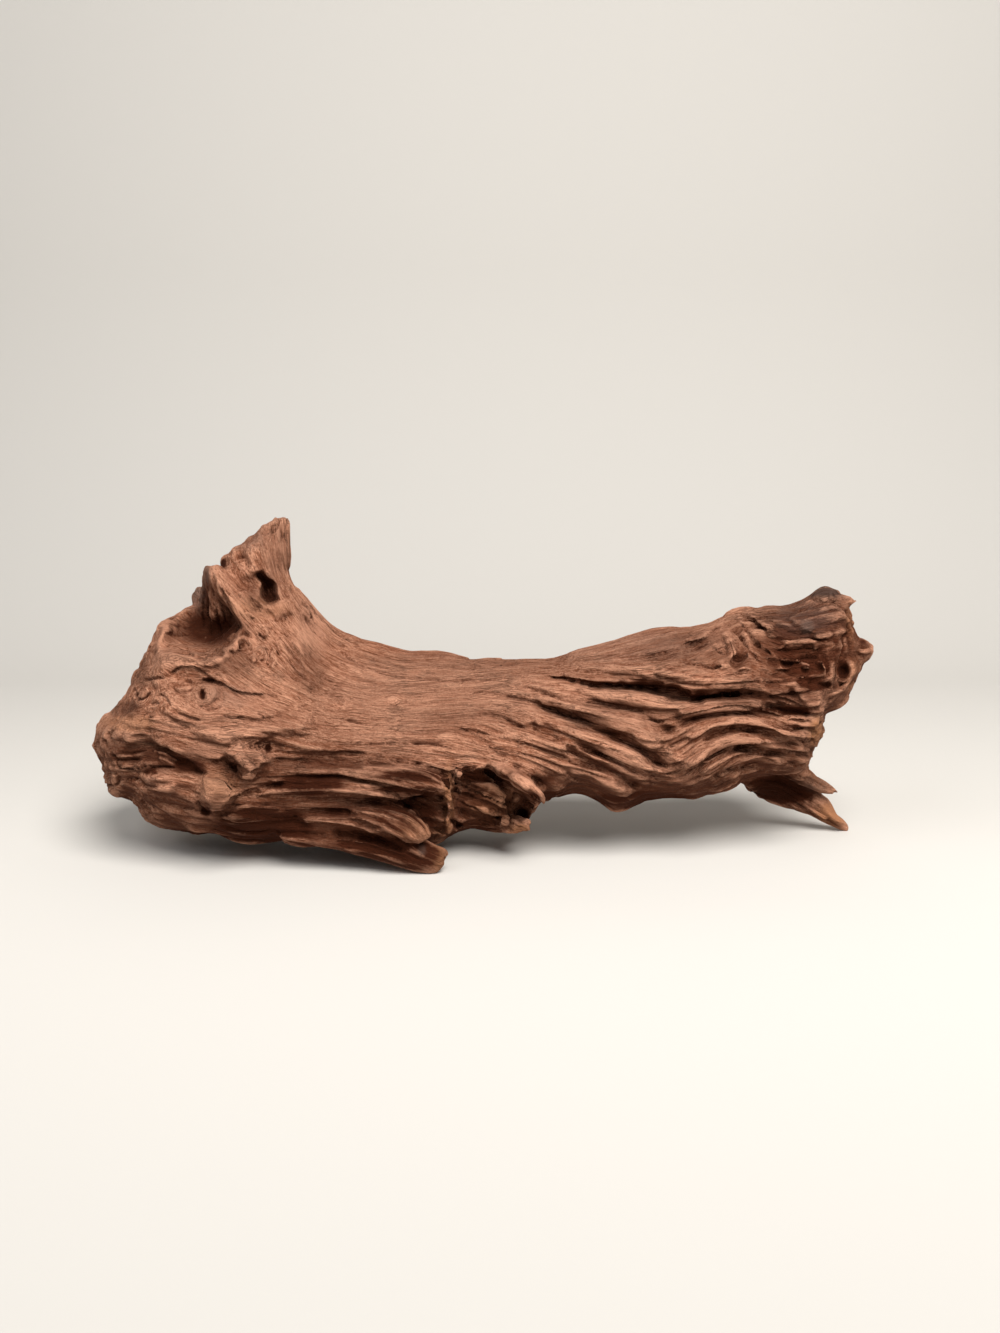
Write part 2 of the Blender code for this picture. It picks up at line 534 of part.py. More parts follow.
def wood_material():
    material = bpy.data.materials.new("driftwood")
    material.use_nodes = True
    surface = material.node_tree.nodes["Principled BSDF"]
    surface.inputs["Base Color"].default_value = WOOD_COLOR
    surface.inputs["Roughness"].default_value = 0.85
    surface.inputs["Metallic"].default_value = 0.0
    return material


def build():
    clear_scene()
    body = trunk()
    remesh(body, FORM_VOXEL, 2)
    carve_front(body, lambda a, b: -hollowing(a, b, TRUNK_HOLLOWS))
    forms = [body, horn()] + [limb(name, stations) for name, stations in LIMBS.items()]
    forms.append(limb("back_foot", BACK_FOOT, real=True))
    wood = joined(forms, "driftwood")
    remesh(wood, FORM_VOXEL, FORM_SMOOTHING)
    remesh(wood, SKIN_VOXEL, 0)
    carve_fibres(wood)
    carve_front(wood, front_relief)
    carve_back(wood, back_relief)
    remesh(wood, SKIN_VOXEL, 1)
    thin_out(wood)
    stand_on_floor(wood)
    wood.data.materials.clear()
    wood.data.materials.append(wood_material())
    parts = bpy.data.collections.new("Driftwood")
    bpy.context.scene.collection.children.link(parts)
    bpy.context.scene.collection.objects.unlink(wood)
    parts.objects.link(wood)


build()
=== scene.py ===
import bmesh
import bpy
import numpy as np
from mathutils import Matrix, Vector


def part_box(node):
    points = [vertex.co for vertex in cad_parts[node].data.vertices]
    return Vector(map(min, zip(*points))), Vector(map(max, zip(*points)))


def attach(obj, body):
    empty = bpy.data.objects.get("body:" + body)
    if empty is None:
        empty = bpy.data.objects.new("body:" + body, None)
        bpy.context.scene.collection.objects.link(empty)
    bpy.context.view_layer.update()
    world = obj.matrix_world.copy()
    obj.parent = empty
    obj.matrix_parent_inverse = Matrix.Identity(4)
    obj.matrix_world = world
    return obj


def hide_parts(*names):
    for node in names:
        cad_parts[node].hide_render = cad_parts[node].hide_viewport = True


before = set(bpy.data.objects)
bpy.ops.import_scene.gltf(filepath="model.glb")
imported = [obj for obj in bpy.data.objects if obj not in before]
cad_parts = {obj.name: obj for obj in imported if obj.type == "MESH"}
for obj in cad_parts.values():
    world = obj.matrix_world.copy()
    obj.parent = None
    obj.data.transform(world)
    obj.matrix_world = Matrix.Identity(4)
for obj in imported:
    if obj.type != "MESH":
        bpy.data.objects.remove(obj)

# Driftwood: one weathered root stump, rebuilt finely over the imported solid.
# The wood is drawn as one eye sees it: a is across and b is up on the sight plane, y is the real depth.
# Lengths are millimetres until the mesh is finished.
cadLow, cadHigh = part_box("driftwood")
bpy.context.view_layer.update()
print("stage: packed wood loaded")

sight = {
    "eye": (0.0, -420.0, 141.0),
    "lookDown": 10.1,        # degrees
    "distance": 427.6,       # from the eye to the sight plane
    "centreB": 74.7,         # the b that the eye looks at
    "woodCentre": (-7.8, -2.45),
}
eye = np.array(sight["eye"])
dip = np.radians(sight["lookDown"])
ahead = np.array([0.0, np.cos(dip), -np.sin(dip)])
upward = np.array([0.0, np.sin(dip), np.cos(dip)])


def placed(a, b, y):
    # the point at depth y on the ray from the eye through a, b of the sight plane
    a, b, y = np.broadcast_arrays(*(np.asarray(v, float) for v in (a, b, y)))
    ray = sight["distance"] * ahead + a[..., None] * np.array([1.0, 0, 0])
    ray = ray + (b - sight["centreB"])[..., None] * upward
    return eye + ray * ((y - eye[1]) / ray[..., 1])[..., None]


def seenAt(points):
    # a and b: the sideways and upward parts of the offset from the eye, scaled by distance over its depth
    offset = points - eye
    reach = sight["distance"] / (offset @ ahead)
    return offset[:, 0] * reach, (offset @ upward) * reach + sight["centreB"]


def readAlong(line, at):
    # straight stretches between the line's points
    line = np.array(line, float)
    return np.interp(at, line[:, 0], line[:, 1])


def smoothPath(points, count):
    # Catmull-Rom: each stretch is the cubic through its two points, with slopes from their neighbours
    rows = np.array(points, float)
    rows = np.vstack([2 * rows[0] - rows[1], rows, 2 * rows[-1] - rows[-2]])
    t = np.linspace(0, len(rows) - 3, count)
    i = np.minimum(t.astype(int), len(rows) - 4)
    f = (t - i)[:, None]
    p0, p1, p2, p3 = rows[i], rows[i + 1], rows[i + 2], rows[i + 3]
    return 0.5 * (2 * p1 + (p2 - p0) * f + (2 * p0 - 5 * p1 + 4 * p2 - p3) * f**2
                  + (3 * p1 - p0 - 3 * p2 + p3) * f**3)


def eased(t):
    # t squared times three less two t, from 0 to 1
    t = np.clip(t, 0, 1)
    return t * t * (3 - 2 * t)


def linked(name, data):
    # an object at the origin that holds this mesh, lamp or camera
    holder = bpy.data.objects.new(name, data)
    bpy.context.scene.collection.objects.link(holder)
    return holder


def closedForm(name, rings):
    # a body through rings of points, each ring joined to the next, with both ends filled
    count, around = rings.shape[:2]
    corner = np.arange(count * around).reshape(count, around)
    following = np.roll(corner, -1, axis=1)
    sides = np.stack([corner[:-1], corner[1:], following[1:], following[:-1]], axis=-1).reshape(-1, 4)
    mesh = bpy.data.meshes.new(name)
    faces = sides.tolist() + [corner[0].tolist(), corner[-1][::-1].tolist()]
    mesh.from_pydata(rings.reshape(-1, 3).tolist(), [], faces)
    body = bmesh.new()
    body.from_mesh(mesh)
    bmesh.ops.remove_doubles(body, verts=body.verts, dist=1e-3)
    bmesh.ops.recalc_face_normals(body, faces=body.faces)
    body.to_mesh(mesh)
    body.free()
    return linked(name, mesh)


# The trunk and head: outline as (a, b), depth to the front and back, and how far the foot leans forward.
trunk = {
    "fullness": 0.86,
    "topEdge": [
        (-147.8, 46), (-147.2, 50), (-146.8, 52.7), (-145.3, 55.2), (-143, 56.4), (-141.6, 57.6),
        (-140.4, 59.6), (-138.6, 60.8), (-136.8, 62.6), (-135, 65), (-134.4, 66.8), (-133.8, 69.7),
        (-131.8, 72.6), (-130, 75.6), (-129.4, 78), (-127.6, 82), (-125.9, 86), (-125, 90), (-123.6, 91.8),
        (-120.6, 92.3), (-114, 95.8), (-109.5, 97.6), (-98, 99.5),
        (-84, 103), (-75, 105), (-70, 99), (-66, 94), (-60, 89), (-50, 84.5), (-40, 81.5), (-33, 80),
        (-20, 80.5), (-13, 79), (-8, 77.5), (0, 78), (20, 78), (25, 80), (35, 82.5), (45, 85), (55, 87.5),
        (66, 89.4), (70, 89.8), (75, 90.8), (80, 92.8), (84.6, 95.2), (87, 95.6), (90.4, 95.8), (93, 95.4),
        (96, 96.8), (100, 97.5), (102, 97.2), (106, 97.6), (110, 100), (114, 103), (117, 104.5), (119, 104.8),
        (122, 104.2), (124.6, 102.6), (126, 99.6), (127.2, 97.8), (129, 94.6), (129.2, 91), (128.4, 88),
        (128.8, 85.6), (130, 85), (134.4, 85.2), (135.4, 83.6), (136.9, 81.4), (137, 80),
    ],
    "bottomEdge": [
        (-147.8, 46), (-147.3, 44.6), (-145.4, 41.6), (-144.4, 39.6), (-144, 35), (-143.2, 32), (-142, 29.6),
        (-140.2, 27.4), (-137, 26.9), (-134, 26.1), (-131.6, 24.6), (-130, 22.4), (-128, 20), (-126.6, 17.6),
        (-123, 16.4), (-119.4, 15.4), (-115.4, 15.2), (-113, 14), (-110.2, 13), (-105, 13.5), (-100, 12.4),
        (-95, 11), (-90, 10.5), (-70, 11), (-60, 10.5), (-50, 9.5), (-40, 9), (-30, 9),
        (-22, 10), (-18, 13), (-10, 15), (0, 14.8), (8, 16), (11, 19), (13, 23), (16, 26.5), (20, 27),
        (25, 28), (30, 27.5), (35, 25.5), (39, 22.5), (41, 21), (45, 21.3), (50, 24.5), (53, 26),
        (60, 26.3), (66, 26.8), (72, 26.6), (74, 27.6), (82, 28), (83.6, 29.6), (86, 30.2), (87, 32.4),
        (91, 34.4), (100, 35), (106, 35.4), (112, 37), (113.4, 40.4), (113.8, 43), (113.6, 45), (116, 46.6),
        (116.7, 48.4), (115.8, 50), (117.2, 51.6), (118, 53), (117.3, 54.8), (116.4, 56), (117.3, 57),
        (120, 58), (123.4, 59.4), (125.8, 61), (128, 64.6), (129.6, 68), (130.2, 71), (131.6, 74.8),
        (133.8, 78), (136.6, 79.6), (137, 80),
    ],
    "frontDepth": [
        (-147.8, -8), (-146.5, -19), (-143, -27), (-136, -33), (-120, -39), (-100, -41), (-80, -37),
        (-60, -32), (-30, -29.5), (0, -28), (40, -29), (80, -28), (105, -24), (118, -21), (128, -14),
        (134, -9), (137, -4),
    ],
    "backDepth": [
        (-147.8, 2), (-146.5, 10), (-143, 17), (-136, 24), (-120, 32), (-100, 36), (-80, 35), (-60, 31),
        (-30, 28), (0, 27), (40, 27), (80, 27), (105, 25), (118, 21), (128, 12), (134, 4), (137, 0),
    ],
    "footLean": [(-147, 2), (-120, 8), (-90, 14), (-60, 17), (-20, 12), (10, 7), (40, 5), (137, 4)],
}


def trunkForm():
    # at each a, a superellipse between the two edges and the two depths, whose foot leans forward
    a = np.linspace(trunk["topEdge"][0][0] + 0.1, trunk["topEdge"][-1][0] - 0.1, 260)[:, None]
    turn = np.linspace(0, 2 * np.pi, 96, endpoint=False)[None, :]
    across = np.sign(np.cos(turn)) * np.abs(np.cos(turn)) ** trunk["fullness"]
    high = np.sign(np.sin(turn)) * np.abs(np.sin(turn)) ** trunk["fullness"]
    top, bottom = readAlong(trunk["topEdge"], a), readAlong(trunk["bottomEdge"], a)
    front, back = readAlong(trunk["frontDepth"], a), readAlong(trunk["backDepth"], a)
    b = (top + bottom) / 2 + high * (top - bottom) / 2
    y = (front + back) / 2 + across * (back - front) / 2 + readAlong(trunk["footLean"], a) * high
    return closedForm("trunk", placed(np.broadcast_to(a, b.shape), b, y))


# Each limb's stations: centre (a, b, y), half its width and half its depth.
limbs = {
    "ridgeSpike": [
        (-80, 84, -13, 5, 5), (-86, 88, -19, 4.8, 6), (-91, 92.5, -19, 4.2, 6), (-95.5, 97, -18, 3.8, 5.5),
        (-99.4, 102, -16.5, 3.6, 5), (-102.4, 107, -14.5, 3.3, 4), (-103.6, 109.8, -12.8, 2.7, 3.4),
        (-104.2, 111.6, -11.6, 1.8, 2.4), (-104.4, 112.6, -11, 0.8, 1.2),
    ],
    "greyLobe": [
        (-106, 76, 12, 7, 7), (-105.6, 84, 10, 6.6, 6), (-105.4, 92, 6, 5.8, 5.4), (-105.6, 99, 0, 4.5, 4.8),
        (-106.1, 105, -5.4, 3.5, 4), (-106.6, 109, -8.2, 2.4, 3.2), (-106.7, 111.4, -9.2, 1.7, 2.2),
        (-106.7, 112.8, -9.4, 0.8, 1.0),
    ],
    "innerSheet": [
        (-97, 74, 10, 8, 8), (-97.2, 82, 4, 7.8, 8), (-98.4, 89, -2, 6.8, 7.4), (-100.6, 96, -7, 5.4, 6.4),
        (-103.2, 103, -9.6, 3.6, 4.6), (-105, 108.6, -10.6, 2.4, 3.2), (-105.6, 111.4, -10.4, 1.4, 2.0),
    ],
    "paleLobe": [
        (-98, 92, 14, 8, 9), (-104, 98, 15, 7, 8), (-108.5, 101.5, 15, 4.6, 6), (-110.5, 103.5, 15, 2, 3),
    ],
    "spur": [
        (-78, 17, -27, 6, 7), (-62, 14, -30, 5.8, 6.5), (-48, 10.4, -32, 5.4, 6),
        (-38, 7.8, -33, 5.2, 5.5), (-30, 5.6, -33, 5.4, 4.6), (-25, 4.4, -33, 5.0, 4),
        (-21.6, 4.2, -33, 4.2, 3.2), (-19.9, 3.6, -33, 2.2, 2),
    ],
    "fingerRoot": [
        (-104, 27, -24, 9, 10), (-84, 29, -27.5, 11, 9), (-64, 29.4, -30, 11.4, 7.4),
        (-52, 29, -31, 10.4, 6), (-44, 28.4, -30.5, 8.4, 4.6), (-39, 28, -29, 6, 3),
    ],
    "upperFinger": [
        (-66, 37, -31, 4, 5), (-50, 36, -34, 4.4, 5), (-38, 34.6, -36, 4.6, 5), (-28, 33.4, -36.8, 4.3, 4.6),
        (-22, 32, -37, 3.5, 4), (-18.8, 31.2, -36.4, 2.5, 3.2), (-17, 31.2, -35.6, 1.2, 1.6),
    ],
    "middleFinger": [
        (-84, 29, -31, 4.4, 6), (-62, 30, -34, 4.4, 5.5), (-48, 29.6, -34.6, 4.0, 4.6),
        (-41, 28.6, -34.4, 3.0, 3.4), (-37.6, 27.8, -34, 2.0, 2.0), (-35.6, 27.2, -33.6, 0.9, 1.0),
    ],
    "lowerFinger": [
        (-70, 20.6, -32, 4.5, 6), (-54, 20, -34.5, 5.0, 5.5), (-43, 19.2, -36, 4.8, 5),
        (-36, 17.4, -36.5, 4.5, 4.6), (-30.4, 14.8, -36.6, 3.3, 4), (-27, 12.8, -36.4, 1.9, 2.6),
        (-25.4, 11.9, -36, 0.9, 1.2),
    ],
    "curl": [
        (1, 18.2, -9, 2.4, 4), (4.4, 16.8, -17, 2.8, 5), (8, 17.2, -20.6, 2.7, 4.6),
        (10.6, 19.4, -21.4, 1.8, 3.4),
    ],
    "archSpike": [
        (-7, 41.6, -20, 2.6, 5), (0, 38.6, -25, 3.0, 4.8), (5, 35.6, -29.2, 3.1, 4.4),
        (9.4, 32, -31.8, 2.9, 3.8), (13, 28.2, -33, 2.3, 3.0), (15.6, 25.2, -33, 1.7, 2.2),
        (17.2, 23.4, -33, 1.0, 1.2),
    ],
    "leg": [
        (88, 40, 10, 6, 8), (95, 34.6, 12, 7.6, 6), (101, 31.6, 13, 7.8, 4.8), (106, 29.6, 13.5, 7.6, 4),
        (110.6, 27.4, 13.5, 6.9, 3.8), (114.4, 24.6, 13.5, 5.2, 3.4), (117, 22.2, 13.5, 4.0, 3.2),
        (120, 19.7, 13.5, 2.9, 3.0), (124.2, 17, 13.5, 2.1, 2.6), (126.6, 15.2, 13.5, 1.2, 1.6),
    ],
    "splinter": [
        (106, 38, 3, 5, 6), (111, 34.8, 5.5, 3.9, 4.4), (114.8, 32.3, 7, 2.3, 3.2), (118, 30.7, 8, 1.5, 2.2),
        (121, 29.4, 8.4, 1.0, 1.4), (123.4, 28.4, 8.6, 0.5, 0.8),
    ],
    "torn": [(110, 42, -4, 2.4, 5), (114.6, 46.6, -4, 1.6, 4), (116.4, 47.8, -4, 0.8, 2)],
    "hook": [
        (121, 98.6, -4, 3, 5), (126, 99, -4, 1.7, 3), (129, 98.8, -4, 1.3, 2), (130.8, 98.4, -4, 0.9, 1.2),
    ],
    "tornFibreA": [(-24, 33.4, -30, 1.6, 2), (-19, 31, -32.5, 1.0, 1.2), (-16.4, 27.6, -33, 0.6, 0.7)],
    "tornFibreB": [(-23, 27.6, -31, 1.5, 2), (-19, 25, -33, 1.0, 1.2), (-17, 20.6, -33.2, 0.6, 0.7)],
    "tornFibreC": [(-23, 21.4, -31, 1.5, 2), (-19.4, 18.6, -32.4, 1.0, 1.2), (-17.4, 14.4, -32.6, 0.6, 0.7)],
    "paleSliver": [(-33, 9.6, -36.5, 1.3, 1.6), (-29.6, 7.4, -37.6, 0.9, 1.1), (-27.4, 6.4, -37.8, 0.5, 0.6)],
}
# The horn at each b: its left and right edge, its front and its back.
hornRows = [
    (76, -92, -74, -8, 12), (84, -93, -70, -13, 14), (90, -94, -67.4, -16, 15), (96, -96.4, -69, -17, 14),
    (102, -99.6, -72.2, -16, 12),
    (108, -102.3, -75.2, -14, 9), (112, -102, -75.5, -12.5, 7), (117.4, -98, -75.5, -11, 5),
    (120, -94.5, -75.5, -9.5, 4), (123, -90.6, -75.7, -8, 3), (126.4, -88, -75.8, -6.5, 2),
    (128.6, -84.6, -76, -5, 1.2), (129.9, -81, -77, -3.8, 0),
]
# The back foot by its real x, y and z, then half its width and depth.
backFoot = [
    (-76, 4, 36, 16, 14), (-84, 14, 22, 12, 11), (-92, 23, 10, 7.6, 7.6), (-96.5, 28.5, 2, 5.8, 5.2),
    (-98.5, 31, -3, 4.6, 4.4),
]


def limbForm(name, stations, real=False):
    # an ellipse carried along the path of the stations, square to its heading
    rows = smoothPath(stations, 6 * len(stations))
    centre = rows[:, :3] if real else placed(rows[:, 0], rows[:, 1], rows[:, 2])
    heading = np.gradient(centre, axis=0)
    heading /= np.linalg.norm(heading, axis=1, keepdims=True)
    deep = np.array([1.0, 0, 0]) if real else np.array([0.0, 1.0, 0])
    wide = np.cross(heading, deep)
    wide /= np.linalg.norm(wide, axis=1, keepdims=True)
    deep = np.cross(wide, heading)
    turn = np.linspace(0, 2 * np.pi, 24, endpoint=False)
    rings = (centre[:, None]
             + wide[:, None] * np.cos(turn)[None, :, None] * np.maximum(rows[:, 3], 0.3)[:, None, None]
             + deep[:, None] * np.sin(turn)[None, :, None] * np.maximum(rows[:, 4], 0.3)[:, None, None])
    return closedForm(name, rings)


def hornForm():
    # at each b, an ellipse between the edges and between front and back
    rows = smoothPath(hornRows, 60)
    turn = np.linspace(0, 2 * np.pi, 40, endpoint=False)[None, :]
    b, left, right, front, back = (column[:, None] for column in rows.T)
    a = (left + right) / 2 + np.cos(turn) * (right - left) / 2
    y = (front + back) / 2 + np.sin(turn) * (back - front) / 2
    return closedForm("horn", placed(a, b, y))


def finishedMesh(piece):
    # the mesh as its modifiers leave it
    graph = bpy.context.evaluated_depsgraph_get()
    return bpy.data.meshes.new_from_object(piece.evaluated_get(graph), depsgraph=graph)


def meltTogether(forms, name):
    # all the forms in one mesh, still overlapping
    body = bmesh.new()
    for form in forms:
        body.from_mesh(form.data)
        bpy.data.objects.remove(form)
    mesh = bpy.data.meshes.new(name)
    body.to_mesh(mesh)
    body.free()
    return linked(name, mesh)


def reskin(piece, voxel, smoothing):
    # one even skin of squares over everything, then softened
    skin = piece.modifiers.new("oneSkin", "REMESH")
    skin.mode = "VOXEL"
    skin.voxel_size = voxel
    if smoothing:
        soften = piece.modifiers.new("soften", "SMOOTH")
        soften.factor = 0.5
        soften.iterations = smoothing
    piece.data = finishedMesh(piece)
    piece.modifiers.clear()


# How far an outline strays, and the size of the noise that leads it.
raggedness = {"stray": 1.4, "size": 2.6}
